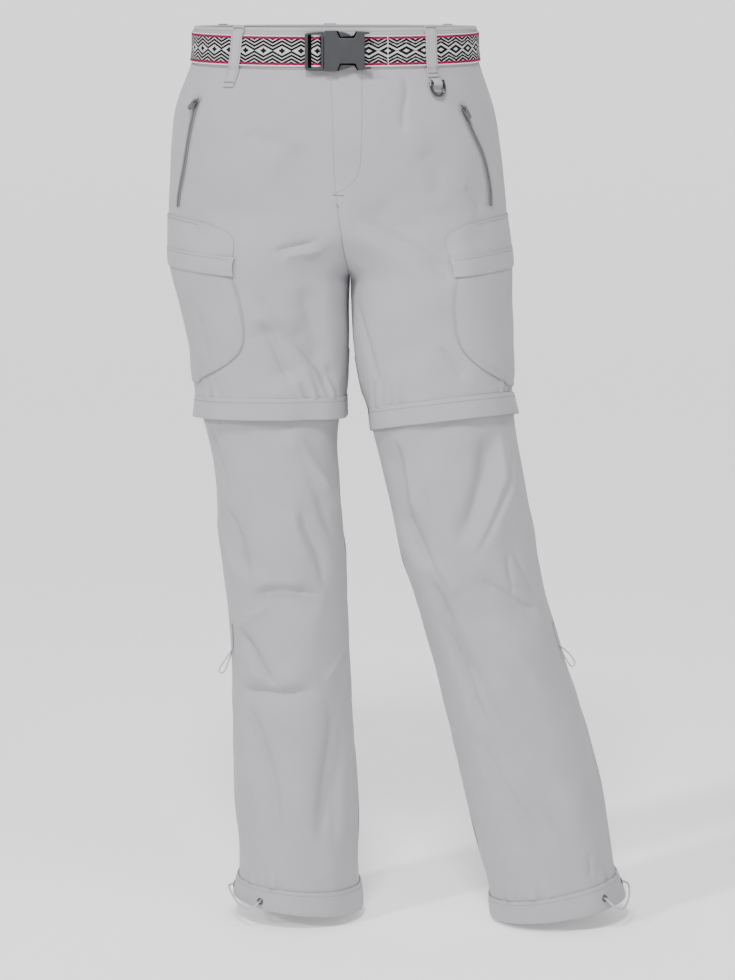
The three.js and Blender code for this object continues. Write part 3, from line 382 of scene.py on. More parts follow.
def fold_height(leg, angle, z, s):
    """How far the folds, gathers and slack of the worn cloth stand out."""
    per_degree = (s["half"] + (s["to_front"] + s["to_back"]) / 2) / 2 * math.pi / 180
    total = np.zeros(np.broadcast(angle, z).shape)
    mm = angle * per_degree
    for width, height, lean, line in FOLDS[leg]:
        away, along, turned = np.full(total.shape, 1e9), np.zeros(total.shape), np.zeros(total.shape)
        lengths = []
        for start, end in zip(line, line[1:]):
            run = ((end[0] - start[0]) * per_degree, float(end[1] - start[1]))
            gone = ((angle - start[0]) * per_degree, z - start[1])
            length = np.hypot(*run)
            t = clamp01((gone[0] * run[0] + gone[1] * run[1]) / length**2)
            gap = np.hypot(gone[0] - run[0] * t, gone[1] - run[1] * t)
            before = sum(lengths) if lengths else 0
            nearer = gap < away
            along = np.where(nearer, before + length * t, along)
            turned = np.where(nearer, np.sign(run[0] * gone[1] - run[1] * gone[0]), turned)
            away = np.where(nearer, gap, away)
            lengths.append(length)
        share = along / sum(lengths)
        taper = smooth(share * 4) * smooth((1 - share) * 4)
        d = away / width
        shape = np.exp(-d ** (SHARP_FALL if width < CRISP else ROUND_FALL))
        total += height * taper * shape * (1 + lean * turned * np.tanh(2 * d))
    for where, level, reach, middle, spread in GATHERS:
        if where == leg:
            above = (z - level) / reach
            bunch = smooth(1.5 - 1.5 * np.abs(angle - middle) / spread)
            weight = smooth(above * 6 + 1) * np.exp(-np.abs(above) ** 1.5) * bunch
            total += weight * (1.3 * np.sin(mm / 2.6 + 0.05 * z) + 1.1 * np.sin(mm / 4.3 + 1.7))
    slack = (1.0 * np.sin(mm / 17 + 1.3 * np.sin(z / 61)) * np.sin(z / 43 + 0.8 * np.sin(mm / 37))
             + 0.6 * np.sin(mm / 9 + z / 23 + np.sin(z / 31)) * np.sin(z / 19 - mm / 29))
    total += slack * smooth(-(z + 30) / 40)
    to_seam = np.where(s["split"] < 1, last_angle(leg, z) - np.abs(angle), 180 - np.abs(angle))
    return total * np.where(z > HELD_ABOVE, smooth(to_seam / 18), 1)


def cloth_point(leg, angle, z, lift=0.0, level=None):
    """Points of the cloth's outer face in mm, moved out by lift, with the way out from the leg."""
    level = z if level is None else level
    s = section_at(leg, level)
    angle = np.asarray(angle, float)
    across, forward = np.cos(np.radians(angle)), np.abs(np.sin(np.radians(angle)))
    reach = np.where(angle >= 0, -s["to_front"], s["to_back"])
    power = 2 / SQUARENESS
    x = s["side"] * s["half"] * np.sign(across) * np.abs(across) ** power
    # The thigh lies flatter in front towards the inseam, where it is pulled taut.
    pulled = (smooth((angle - 95) / 45) * smooth((180 - angle) / 12)
              * smooth((RISE_TOP - level) / 70) * smooth((level + 620) / 150))
    y = reach * forward ** (power - TAUT * pulled)
    out_x = s["side"] * np.sign(across) * np.abs(across) ** (2 - power) / s["half"]
    out_y = forward ** (2 - power) / reach
    size = np.hypot(out_x, out_y)
    outward = np.stack([out_x / size, out_y / size, np.zeros_like(size)], -1)
    point = np.stack([s["middle"] + x, s["seam"] + y, z + s["side"] * s["lean"] * x + s["nod"] * y], -1)
    rise = lift + fold_height(leg, angle, np.asarray(level, float) + 0 * angle, s)
    return point + rise[..., None] * outward, outward


def lay_flat(mesh, uv):
    """Sets a shell's UV map in metres from one (u, v) in mm for each point of its outer grid."""
    uv = np.tile(uv.reshape(-1, 2), (2, 1)) / 1000
    loops = np.empty(len(mesh.loops), int)
    mesh.loops.foreach_get("vertex_index", loops)
    mesh.uv_layers["cut"].data.foreach_set("uv", uv[loops].ravel())


def cloth_mesh(name, outer, thickness, is_ring=False, inside=None):
    """A thin closed shell under a grid of outer points in mm, facing away from a point inside."""
    rows, columns = outer.shape[:2]
    wrapped = np.concatenate([outer[:, -1:], outer, outer[:, :1]], 1) if is_ring else outer
    down, round_ = np.gradient(outer, axis=0), np.gradient(wrapped, axis=1)
    if is_ring:
        round_ = round_[:, 1:-1]
    normal = np.cross(round_, down)
    normal /= np.maximum(np.linalg.norm(normal, axis=-1, keepdims=True), 1e-9)
    centre = outer.mean(axis=(0, 1)) if inside is None else inside
    if np.sum(normal * (outer - centre)) < 0:
        normal = -normal
    points = np.concatenate([outer.reshape(-1, 3), (outer - thickness * normal).reshape(-1, 3)]) / 1000
    layer = rows * columns
    wide = columns if is_ring else columns - 1
    j, i = np.mgrid[0:rows - 1, 0:wide]
    a, b = j * columns + i, j * columns + (i + 1) % columns
    c, d = b + columns, a + columns
    faces = [np.stack([a, b, c, d], -1).reshape(-1, 4),
             np.stack([a, d, c, b], -1).reshape(-1, 4) + layer]
    i = np.arange(wide)
    for row, flip in ((0, False), (rows - 1, True)):
        p, q = row * columns + i, row * columns + (i + 1) % columns
        rim = np.stack([q, p, p + layer, q + layer], -1)
        faces.append(rim[:, ::-1] if flip else rim)
    if not is_ring:
        j = np.arange(rows - 1) * columns
        for column, flip in ((0, True), (columns - 1, False)):
            p, q = j + column, j + column + columns
            rim = np.stack([q, p, p + layer, q + layer], -1)
            faces.append(rim[:, ::-1] if flip else rim)
    faces = np.concatenate(faces)
    corners = points[faces[:a.size, :3]]
    facing = np.cross(corners[:, 1] - corners[:, 0], corners[:, 2] - corners[:, 0])
    if np.sum(facing * normal[:-1, :wide].reshape(-1, 3)) < 0:
        faces = faces[:, ::-1]
    mesh = bpy.data.meshes.new(name)
    mesh.from_pydata(points, [], faces.tolist())
    mesh.shade_smooth()
    mesh.set_sharp_from_angle(angle=math.radians(50))
    step = np.linalg.norm(np.diff(outer, axis=1), axis=-1)
    u = np.concatenate([np.zeros((rows, 1)), np.cumsum(step, axis=1)], 1)
    mesh.uv_layers.new(name="cut")
    lay_flat(mesh, np.stack([u, np.broadcast_to(outer[:, :1, 2], u.shape)], -1))
    return mesh


def reckon(tree, operation, *terms):
    """One sum by a math node. Each term is a number or a socket."""
    return add_node(tree, "ShaderNodeMath", dict(enumerate(terms)), operation=operation).outputs[0]


def interlaced(tree, turns):
    """Threads that pass over and under each other, from the turns each way."""
    ways = add_node(tree, "ShaderNodeSeparateXYZ", {"Vector": turns}).outputs
    return reckon(tree, "MULTIPLY", reckon(tree, "SINE", ways["X"]), reckon(tree, "SINE", ways["Y"]))


# Nylon, plain woven from a matt, air-textured yarn, stone grey. Its real thread is about 0.3 mm, drawn
# at 1.3 mm here so that the weave shows, and its dye varies a little over a few centimetres.
trouser_cloth, tree, shader = new_material("stone grey nylon", Roughness=0.86, IOR=1.5)
shader.inputs["Sheen Weight"].default_value = 0.12
shader.inputs["Sheen Roughness"].default_value = 0.5
THREAD_PITCH = 0.0013
uv_map = add_node(tree, "ShaderNodeUVMap", uv_map="cut")
turns = add_node(tree, "ShaderNodeVectorMath",
                 {0: uv_map.outputs["UV"], "Scale": 2 * math.pi / THREAD_PITCH}, operation="SCALE")
dye = object_texture(tree, "Noise", {"Scale": 22, "Detail": 3})
yarn = object_texture(tree, "Noise", {"Scale": 700, "Detail": 2})
yarn_tone = add_node(tree, "ShaderNodeMapRange", {"Value": yarn, "To Min": 0.95, "To Max": 1.05})
tone = add_node(tree, "ShaderNodeVectorMath",
                {0: blend(tree, dye, "#969498", "#a09ea3"), "Scale": yarn_tone.outputs[0]}, operation="SCALE")
tree.links.new(tone.outputs[0], shader.inputs["Base Color"])
threads = relief(tree, interlaced(tree, turns.outputs[0]), 0.22, 0.0002)
crumple = object_texture(tree, "Noise", {"Scale": 60, "Detail": 4, "Roughness": 0.55})
tree.links.new(relief(tree, crumple, 0.35, 0.0012, Normal=threads), shader.inputs["Normal"])


def dress(name, mesh, material, slot, *nodes, body="garment"):
    """Puts a finished mesh in the scene in place of its solids."""
    piece = bpy.data.objects.new(f"{name}_finished", mesh)
    bpy.context.scene.collection.objects.link(piece)
    mesh.materials.append(material)
    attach(piece, body)
    if nodes:
        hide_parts(*nodes)
    return piece


def dress_cloth(name, mesh):
    """Puts a piece of the trouser cloth in place of the solid of its name."""
    return dress(name, mesh, trouser_cloth, "trouser_cloth", name)


def panel(name, leg, is_front, top, bottom, columns, rows):
    """A garment panel from the side seam to the centre seam or inseam."""
    z = np.linspace(top, bottom, rows)[:, None]
    share = np.linspace(0, 1, columns)[None, :]
    first = first_angle(leg, z)
    angle = first + (last_angle(leg, z) - first) * share
    outer, _ = cloth_point(leg, angle if is_front else -angle, z + 0 * angle)
    centre = cloth_point(leg, np.array([0.0, 90, 180, -90]), np.full(4, (top + bottom) / 2))[0].mean(0)
    return dress_cloth(name, cloth_mesh(name, outer, SHELL, inside=centre))


for leg in ("right", "left"):
    front = panel(f"front_{leg}", leg, True, WAIST_SEAM - SEAM_GAP, THIGH_END[leg], 136, 190)
    back = panel(f"back_{leg}", leg, False, WAIST_SEAM - SEAM_GAP, THIGH_END[leg], 88, 124)

# Lower legs: a front and a back panel each of the same nylon, sewn at the side seam and the inseam. They
# are zipped on above the knee and fall straight into the hem.
ZIP_DEEP = 12
HEM_FOOT = {"right": -1005, "left": -1008}
for leg, flat_area in (("right", 0.134), ("left", 0.143)):
    top, bottom = THIGH_END[leg] - ZIP_DEEP - 2 * SEAM_GAP, HEM_FOOT[leg] + 2
    front = panel(f"lower_front_{leg}", leg, True, top, bottom, 116, 264)
    back = panel(f"lower_back_{leg}", leg, False, top, bottom, 68, 190)

# Stitching: polyester thread, coloured darker than the cloth as painted shade where it sinks in, about 3 mm
# to a stitch.
# Each line is laid by a node tree that sets one small rounded stitch after another along a path.
def thread_tree():
    """Sets rounded stitches along a path: the pitch, and each stitch's length, width and height."""
    tree = bpy.data.node_groups.new("stitches along a path", "GeometryNodeTree")
    face = tree.interface
    face.new_socket("Geometry", in_out="INPUT", socket_type="NodeSocketGeometry")
    for label in ("Pitch", "Length", "Width", "Height"):
        face.new_socket(label, in_out="INPUT", socket_type="NodeSocketFloat")
    face.new_socket("Thread", in_out="INPUT", socket_type="NodeSocketMaterial")
    face.new_socket("Geometry", in_out="OUTPUT", socket_type="NodeSocketGeometry")
    given = add_node(tree, "NodeGroupInput")
    line = add_node(tree, "GeometryNodeMeshToCurve", {"Mesh": given.outputs["Geometry"]})
    even = add_node(tree, "GeometryNodeResampleCurve",
                    {"Curve": line.outputs["Curve"], "Length": given.outputs["Pitch"]}, mode="LENGTH")
    tangent = add_node(tree, "GeometryNodeInputTangent")
    outward = add_node(tree, "GeometryNodeInputNamedAttribute", {"Name": "outward"},
                       data_type="FLOAT_VECTOR")
    along = add_node(tree, "FunctionNodeAlignRotationToVector", {"Vector": tangent.outputs["Tangent"]},
                     axis="X")
    turned = add_node(tree, "FunctionNodeAlignRotationToVector",
                      {"Rotation": along.outputs["Rotation"], "Vector": outward.outputs["Attribute"]},
                      axis="Z", pivot_axis="X")
    stitch = add_node(tree, "GeometryNodeMeshUVSphere", {"Segments": 6, "Rings": 4, "Radius": 0.5})
    size = add_node(tree, "ShaderNodeCombineXYZ",
                    {"X": given.outputs["Length"], "Y": given.outputs["Width"], "Z": given.outputs["Height"]})
    placed = add_node(tree, "GeometryNodeInstanceOnPoints",
                      {"Points": even.outputs["Curve"], "Instance": stitch.outputs["Mesh"],
                       "Rotation": turned.outputs["Rotation"], "Scale": size.outputs["Vector"]})
    real = add_node(tree, "GeometryNodeRealizeInstances", {"Geometry": placed.outputs["Instances"]})
    rounded = add_node(tree, "GeometryNodeSetShadeSmooth", {"Geometry": real.outputs["Geometry"]})
    finish = add_node(tree, "GeometryNodeSetMaterial",
                      {"Geometry": rounded.outputs["Geometry"], "Material": given.outputs["Thread"]})
    add_node(tree, "NodeGroupOutput", {"Geometry": finish.outputs["Geometry"]})
    return tree


stitches = thread_tree()
# Spun polyester sewing thread, dyed to match: a soft, faintly shiny grey. Its colour is set darker than the
# cloth all along: painted shade for where the stitches sink into the cloth.
thread, tree, shader = new_material("polyester sewing thread", Roughness=0.6, IOR=1.55)
colour(tree, shader, object_texture(tree, "Noise", {"Scale": 1500, "Detail": 1}), "#6d6c70", "#838287")


def set_along(name, paths, material, pitch, length, width, height):
    """Sets small rounded shapes along paths of (points, outward) in mm, as one plain mesh."""
    points, outward, edges = [], [], []
    for path, out in paths:
        start = len(points)
        points += (np.asarray(path) / 1000).tolist()
        outward += np.broadcast_to(out, np.shape(path)).tolist()
        edges += [(k, k + 1) for k in range(start, len(points) - 1)]
    mesh = bpy.data.meshes.new(name)
    mesh.from_pydata(points, edges, [])
    mesh.attributes.new("outward", "FLOAT_VECTOR", "POINT").data.foreach_set("vector", np.ravel(outward))
    piece = bpy.data.objects.new(name, mesh)
    bpy.context.scene.collection.objects.link(piece)
    modifier = piece.modifiers.new("stitches", "NODES")
    modifier.node_group = stitches
    sizes = {"Pitch": pitch / 1000, "Length": length / 1000, "Width": width / 1000,
             "Height": height / 1000, "Thread": material}
    for item in stitches.interface.items_tree:
        if item.in_out == "INPUT" and item.name in sizes:
            modifier[item.identifier] = sizes[item.name]
    graph = bpy.context.evaluated_depsgraph_get()
    made = bpy.data.meshes.new_from_object(piece.evaluated_get(graph), preserve_all_data_layers=True,
                                           depsgraph=graph)
    piece.modifiers.clear()
    piece.data = made
    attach(piece, "garment")


def on_cloth(leg, spots, lift, step=2.0):
    """A path over the cloth through (angle, height) spots, with the way out at each point."""
    rough, _ = cloth_point(leg, *np.array(spots, float).T)
    count = max(int(np.linalg.norm(np.diff(rough, axis=0), axis=1).sum() / step), 4)
    at = smooth_path(spots, count)
    return cloth_point(leg, at[:, 0], at[:, 1], lift)


def sew(name, paths, pitch=3.0, length=2.4, width=0.7, height=0.4):
    """Stitches along paths, in the thread of the trousers. Sizes are in mm."""
    set_along(name, paths, thread, pitch, length, width, height)


for leg in ("right", "left"):
    sew(f"thigh_seams_{leg}", [on_cloth(leg, [(3, z) for z in (-20, -60, -110, -150, -180)], 0.1)])
    below_flap = THIGH_END[leg] - 21
    sew(f"calf_seams_{leg}", [on_cloth(leg, [(3.2, z) for z in np.linspace(below_flap, -975, 24)], 0.1)])

# Fly: a straight facing behind the left front, which laps over the right one, held by a curved line of
# stitching, with bar tacks at the foot of the opening.
FLY_TOP, FLY_FOOT = -18, -153
# The facing's width at each height, from its top to its foot
FLY_ROWS = [(FLY_TOP, 34), (-60, 33), (-100, 32), (-128, 29), (-143, 22), (FLY_FOOT, 10)]
fly_z = np.linspace(FLY_TOP, FLY_FOOT, 28)
fly_width = np.interp(-fly_z, [-z for z, _ in FLY_ROWS], [w for _, w in FLY_ROWS])
fly_edge = last_angle("left", fly_z)
fly_turn = np.degrees(fly_width / section_at("left", fly_z)["half"])
share = np.linspace(0, 1, 10)[None, :]
outer, _ = cloth_point("left", fly_edge[:, None] - fly_turn[:, None] * share,
                       fly_z[:, None] + 0 * share, -SHELL - 1.5)
fly = dress_cloth("fly", cloth_mesh("fly", outer, 0.8))
# The curved line of stitches, as mm from the centre seam and height
J_LINE = [(32, -19), (31.8, -50), (31.4, -85), (30.8, -112), (29.4, -130), (24, -143), (14, -153), (4, -158)]


def from_centre(x, z):
    """The angle of a spot on the left front x mm from the centre seam."""
    s = section_at("left", z)
    return float(np.degrees(np.arccos(((x - s["middle"]) / s["half"]) ** (SQUARENESS / 2))))


sew("fly_stitches", [on_cloth("left", [(from_centre(x, z), z) for x, z in J_LINE], 0.1)])


def tack(leg, angle, z, lift, run):
    """A bar tack: close thin stitches side by side along a short run of (degrees, mm)."""
    ends = [(angle - run[0] / 2, z - run[1] / 2), (angle, z), (angle + run[0] / 2, z + run[1] / 2)]
    return on_cloth(leg, ends, lift, 0.5)


sew("fly_tacks", [tack("left", from_centre(6, -161), -161, 0.3, (2.6, 0.8)),
                  tack("left", from_centre(5, -173), -173, 0.3, (0.3, 4))],
    pitch=0.6, length=0.5, width=1.3, height=0.4)

# Waistband: a straight double strip of the trouser cloth sewn round the top, with a line of stitches
# along each edge. It is slit at the centre front behind the buckle.
def round_waist(turn, z, lift):
    """Round the waist: 0 at the centre front, 90 at the wearer's right, 180 at the centre back."""
    turn, z = np.broadcast_arrays(np.asarray(turn, float), np.asarray(z, float))
    lift = np.broadcast_to(lift, turn.shape)
    right, _ = cloth_point("right", 90 - turn, z, lift)
    left, _ = cloth_point("left", turn - 270, z, lift)
    return np.where((turn <= 180)[..., None], right, left)


WAIST_TOP, WAISTBAND_THICK = 24, 2.1
turns = np.linspace(0, 360, 241)[None, :]
heights = np.array([WAIST_TOP, 23.4, 21, 17, 10, 2, -6, -12, -15.5, -16.7, -17])[:, None]
rounding = np.array([-0.9, -0.3, 0, 0, 0, 0, 0, 0, 0, -0.3, -0.8])[:, None]
outer = round_waist(turns, heights + 0 * turns, rounding + 0 * turns)
waistband = dress_cloth("waistband", cloth_mesh("waistband", outer, WAISTBAND_THICK))
stitched_turns = np.linspace(3, 357, 300)
around = []
for z in (20.5, -14.5):
    points = round_waist(stitched_turns, np.full(300, z), 0.1)
    middle = points.mean(0)
    out = (points - middle) * (1, 1, 0)
    around.append((points, out / np.linalg.norm(out, axis=1, keepdims=True)))
sew("waistband_stitches", around)

# Slant hand pockets: a zip let into each front between two stitched lips. Woven tape with a moulded
# nylon coil, closed by a slider with a flat pull.
# The middle of each zip as angle and height, from the top down
POCKET_ZIPS = {"right": [(33, -58), (30, -100), (27, -140), (22.5, -178)],
               "left": [(39, -66), (35.5, -90), (30, -122), (28, -150), (28, -176)]}
LIP = 5.6  # from the middle of the zip to each line of stitches, in mm
# Polyester tape: woven with a close rib about 1 mm wide, dark grey and matt.
zip_tape, tree, shader = new_material("woven zip tape", Roughness=0.8, IOR=1.5)
ribs = object_texture(tree, "Wave", {"Scale": 300, "Distortion": 1}, bands_direction="Z")
colour(tree, shader, ribs, "#5c5d60", "#7b7c80")
tree.links.new(relief(tree, ribs, 0.3, 0.0002), shader.inputs["Normal"])
# Nylon coil: moulded monofilament, smooth, a little translucent, so it shines on each turn.
zip_coil, tree, shader = new_material("moulded nylon coil", Roughness=0.35, IOR=1.53)
colour(tree, shader, object_texture(tree, "Noise", {"Scale": 400}), "#4a4b4e", "#66676b")
# Zinc slider parts with a dark grey lacquer, rubbed a little at the edges.
zip_metal, tree, shader = new_material("lacquered zinc", Roughness=0.38, Metallic=0.6)
colour(tree, shader, object_texture(tree, "Noise", {"Scale": 500, "Detail": 3}), "#5b5c5f", "#86878a")


def raised_strip(middle, sideways, out, across, rise):
    """A grid along a line: each row has the points at these mm sideways and out."""
    return (middle[:, None] + sideways[:, None] * across[None, :, None]
            + out[:, None] * rise[None, :, None])


for leg, line in POCKET_ZIPS.items():
    spots = smooth_path(line, 48)
    middle, out = cloth_point(leg, spots[:, 0], spots[:, 1])
    sideways = np.cross([0, 0, 1], out)
    across = np.array([-3.2, -3.0, -1.5, 0, 1.5, 3.0, 3.2])
    rise = np.array([0.7, 1.2, 1.3, 1.3, 1.3, 1.2, 0.7])
    outer = raised_strip(middle, sideways, out, across, rise)
    tape = cloth_mesh(f"pocket_zip_{leg}", outer, 0.5, inside=outer.mean((0, 1)) - 20 * out.mean(0))
    dress(f"pocket_zip_{leg}", tape, zip_tape, "zip_tape", f"pocket_zip_{leg}")
    set_along(f"pocket_coil_{leg}", [(middle + 1.5 * out, out)], zip_coil, 1.15, 0.95, 3.0, 1.4)
    lips = [(middle + sideways * away + out * 0.15, out) for away in (-LIP, LIP)]
    arch = np.array([[-LIP, 4], [-3, 7.5], [0, 8.6], [3, 7.5], [LIP, 4]])
    top = middle[0] + arch @ np.array([sideways[0], [0, 0, 1]]) + out[0] * 0.5
    lips.append((smooth_path(top, 12), out[0]))
    sew(f"pocket_lips_{leg}", lips)
    for node in (f"slider_{leg}", f"pull_{leg}"):
        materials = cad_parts[node].data.materials
        materials.clear()
        materials.append(zip_metal)

# Cargo pockets: patches that wrap the side seams, with curved lower corners, each closed by a straight
# flap. The patch stands off a little in the middle, where it is loose.
# Each row: height, reach to each side in degrees, and droop at its ends
POCKET_ROWS = [(-188, 44, 7), (-196, 55, 4), (-208, 64, 2), (-224, 69.5, 1), (-250, 74, 0),
               (-266, 76.5, 0), (-284, 77.5, 0), (-304, 77.5, 0), (-324, 76.5, 0), (-340, 73, 0),
               (-352, 65.5, 0), (-361, 57, 0), (-369, 46, 0), (-376, 33, 0), (-381, 21, 0)]
POCKET_FOOT = {"right": 0, "left": 13}  # how much lower the foot of each pocket hangs
FLAP_ROWS = [(-225, 72, 6), (-228, 72.4, 6), (-235, 73.5, 6), (-246, 75.5, 6), (-247, 75.6, 6)]


def wrap_patch(leg, rows, count, columns, lift_at):
    """A patch round the side seam from rows of height, reach and droop, with its lift at each spot."""
    rows = np.array(rows, float)
    z = np.linspace(rows[0, 0], rows[-1, 0], count)
    reach, droop = (np.interp(-z, -rows[:, 0], rows[:, k]) for k in (1, 2))
    reach = np.convolve(np.pad(reach, 2, "edge"), np.ones(5) / 5, "valid")
    share = np.linspace(-1, 1, columns)[None, :]
    down = np.linspace(0, 1, count)[:, None]
    height = z[:, None] - droop[:, None] * share**2
    return cloth_point(leg, reach[:, None] * share, height, lift_at(share + 0 * down, down + 0 * share))


def patch_edges(leg, rows, inset, lift):
    """The line a few mm inside a patch's front and back edges and along its foot."""
    rows = np.array(rows, float)
    per_degree = 2.3  # mm of cloth to a degree at the side seam
    inset_by = inset / per_degree
    spots = [(r - inset_by, z - d * ((r - inset_by) / r) ** 2) for z, r, d in rows]
    foot = [(a, rows[-1, 0] + inset) for a in (15, 5)]
    return [on_cloth(leg, [(sign * a, z) for a, z in spots + foot], lift) for sign in (1, -1)]


def pocket_lift(share, down):
    """How far the pocket stands off: rolled at its edges, and fuller in the middle."""
    edge = smooth((1 - np.abs(share)) * 9) * smooth(down * 14) * smooth((1 - down) * 12)
    fullness = smooth((1 - np.abs(share)) * 2.5) * smooth(down * 3) * smooth((1 - down) * 3)
    return 1.3 + 0.9 * edge + 0.78 * fullness


def flap_lift(share, down):
    """How far the flap stands off: more towards its lower edge, which is rolled under."""
    side_edge = smooth((1 - np.abs(share)) * 20)
    return 2.9 + 0.5 * side_edge + 1.3 * smooth(down * 1.2) - 0.5 * smooth((down - 0.9) * 10)


def line_round(leg, z, droop, reach, count, lift):
    """A line round the side seam at a height, lower by droop at its ends."""
    angles = np.linspace(-reach, reach, count)
    return on_cloth(leg, [(angle, z - droop * angle**2) for angle in angles], lift)


for leg in ("right", "left"):
    rows = [(z - POCKET_FOOT[leg] * smooth((-300 - z) / 81), reach, droop) for z, reach, droop in POCKET_ROWS]
    outer, _ = wrap_patch(leg, rows, 70, 110, pocket_lift)
    pocket = dress_cloth(f"cargo_pocket_{leg}", cloth_mesh(f"cargo_pocket_{leg}", outer, 0.8))
    outer, _ = wrap_patch(leg, FLAP_ROWS, 14, 110, flap_lift)
    flap = dress_cloth(f"cargo_flap_{leg}", cloth_mesh(f"cargo_flap_{leg}", outer, 0.9))
    sew(f"cargo_stitches_{leg}", patch_edges(leg, rows[4:], 2.5, 2.2)
        + [line_round(leg, -228, 6 / 72**2, 69, 15, 3.6), line_round(leg, -190.5, 7 / 44**2, 40, 11, 2.0)])

# Zip-off legs: a coil zip runs round each leg above the knee, under a stitched-down flap that hangs free
# at its lower edge. The lower leg hangs from the zip.
BAND_HEIGHT, BAND_COLUMNS = 25, 220
BAND_TOP = {"right": -396.5, "left": -402}
BAND_SLIDE = {"right": -0.02, "left": 0.15}  # how far each flap hangs sideways, to its height


def leg_ring(leg, z, lift, level=None, columns=180, slide=0.0):
    """A ring of points round a leg at each height, slid sideways, with the way out."""
    angle = np.linspace(-180, 180, columns, endpoint=False)[None, :]
    z = np.asarray(z, float)[:, None] + 0 * angle
    level = z if level is None else np.asarray(level, float)[:, None] + 0 * angle
    points, out = cloth_point(leg, angle, z, np.asarray(lift, float)[:, None] + 0 * angle, level)
    points[..., 0] += np.broadcast_to(slide, (z.shape[0],))[:, None]
    return points, out


def sew_round(name, ring, out):
    """Stitches all round a leg just over a ring of points."""
    ring = ring + out * 0.15
    sew(name, [(np.concatenate([ring, ring[:1]]), np.concatenate([out, out[:1]]))])


for leg in ("right", "left"):
    zip_top = THIGH_END[leg] - SEAM_GAP
    tape, _ = leg_ring(leg, np.linspace(zip_top, zip_top - ZIP_DEEP, 5), np.zeros(5))
    mesh = cloth_mesh(f"leg_zip_{leg}", tape, 1.0, is_ring=True)
    zip_ring = dress(f"leg_zip_{leg}", mesh, zip_tape, "zip_tape", f"leg_zip_{leg}")
    share = np.array([0, 0.02, 0.08, 0.2, 0.4, 0.6, 0.8, 0.94, 0.985, 1])
    lift = 1.7 + 1.6 * share + np.array([-0.6, -0.1, 0, 0, 0, 0, 0, 0, -0.2, -0.6])
    fall = BAND_HEIGHT * share
    level = np.full(len(share), BAND_TOP[leg] - 6)
    band, out = leg_ring(leg, BAND_TOP[leg] - fall, lift, level, BAND_COLUMNS, BAND_SLIDE[leg] * fall)
    turn = np.linspace(-math.pi, math.pi, BAND_COLUMNS, endpoint=False)
    wave = 0.56 * np.sin(turn * 5 + 1) + 0.35 * np.sin(turn * 11)
    band += out * (wave[None, :] * share[:, None])[..., None]
    flap = dress_cloth(f"zip_flap_{leg}", cloth_mesh(f"zip_flap_{leg}", band, 1.0, is_ring=True))
    sew_round(f"zip_flap_stitches_{leg}", band[3], out[3])

# Roll-up tabs at the calves: short folded strips of the trouser cloth, bar-tacked at the top, with the
# elastic loop sewn in below.
def strap(name, leg, width, thickness, stations, steps):
    """A folded strip of cloth along (angle, height, lift) stations, with softly rolled edges."""
    at = smooth_path(stations, steps)
    middle, out = cloth_point(leg, at[:, 0], at[:, 1], at[:, 2] + thickness)
    sideways = np.cross(out, [0, 0, 1])
    across = width * np.array([-0.5, -0.46, -0.3, 0, 0.3, 0.46, 0.5])
    rise = np.array([-0.45, -0.08, 0, 0.05, 0, -0.08, -0.45]) * thickness
    outer = raised_strip(middle, sideways, out, across, rise)
    dress_cloth(name, cloth_mesh(name, outer, thickness, inside=outer.mean((0, 1)) - 30 * out.mean(0)))
    return middle, out


def cross_stitches(middle, out, half, count, lift):
    """A line of stitches across a strap at one of its spots."""
    sideways = np.cross(out, [0, 0, 1])
    return middle + out * lift + sideways * np.linspace(-half, half, count)[:, None], out


for leg, stations in {"right": [(20, -665, 0.45), (17.5, -681, 0.45), (15, -697, 0.45)],
                      "left": [(11, -677, -0.2), (12, -690, -0.2), (13, -703, -0.2)]}.items():
    strap(f"roll_tab_{leg}", leg, 6.5, 1.0, stations, 12)
    angle, z, lift = stations[0]
    sew(f"roll_tack_{leg}", [tack(leg, angle, z - 2, lift + 1.3, (3.2, 0))],
        pitch=0.5, length=0.45, width=2.0, height=0.7)

# Hems: double bands of the trouser cloth that make a channel for the drawcord, turned up and
# topstitched along the upper edge.
HEM_DEEP = 28
for leg, foot in HEM_FOOT.items():
    share = np.array([0, 0.015, 0.06, 0.16, 0.3, 0.5, 0.7, 0.86, 0.95, 0.985, 1])
    z = foot + HEM_DEEP * (1 - share)
    lift = 2.5 + np.array([-1.4, -0.3, 0.2, 0, 0.5, 0.7, 0.6, 0.3, 0.1, -0.3, -1.2])
    band, out = leg_ring(leg, z, lift, columns=200)
    hem_band = dress_cloth(f"hem_{leg}", cloth_mesh(f"hem_{leg}", band, 1.9, is_ring=True))
    sew_round(f"hem_stitches_{leg}", band[3], out[3])

# Eyelets: rolled brass washers with a gunmetal plate, two to a hem, pressed through it where the drawcord
# runs out. The plate is smooth and a little worn.
eyelet_metal, tree, shader = new_material("gunmetal plated brass", Roughness=0.3, Metallic=0.9)
colour(tree, shader, object_texture(tree, "Noise", {"Scale": 600, "Detail": 3}), "#4b4c50", "#717277")


def place_on_cloth(leg, angle, z, lift):
    """A spot on the cloth with its own axes: sideways, up along the cloth, and out."""
    angle, z = np.array([float(angle)]), np.array([float(z)])
    point, out = (found[0] for found in cloth_point(leg, angle, z, lift))
    above, below = (cloth_point(leg, angle, z + step)[0][0] for step in (6, -6))
    ahead, behind = (cloth_point(leg, angle + step, z)[0][0] for step in (2, -2))
    facing = np.cross(ahead - behind, above - below)
    facing /= np.linalg.norm(facing)
    if facing @ out < 0:
        facing = -facing
    up = np.array([0, 0, 1.0]) - facing * facing[2]
    up /= np.linalg.norm(up)
    return point, np.cross(up, facing), up, facing


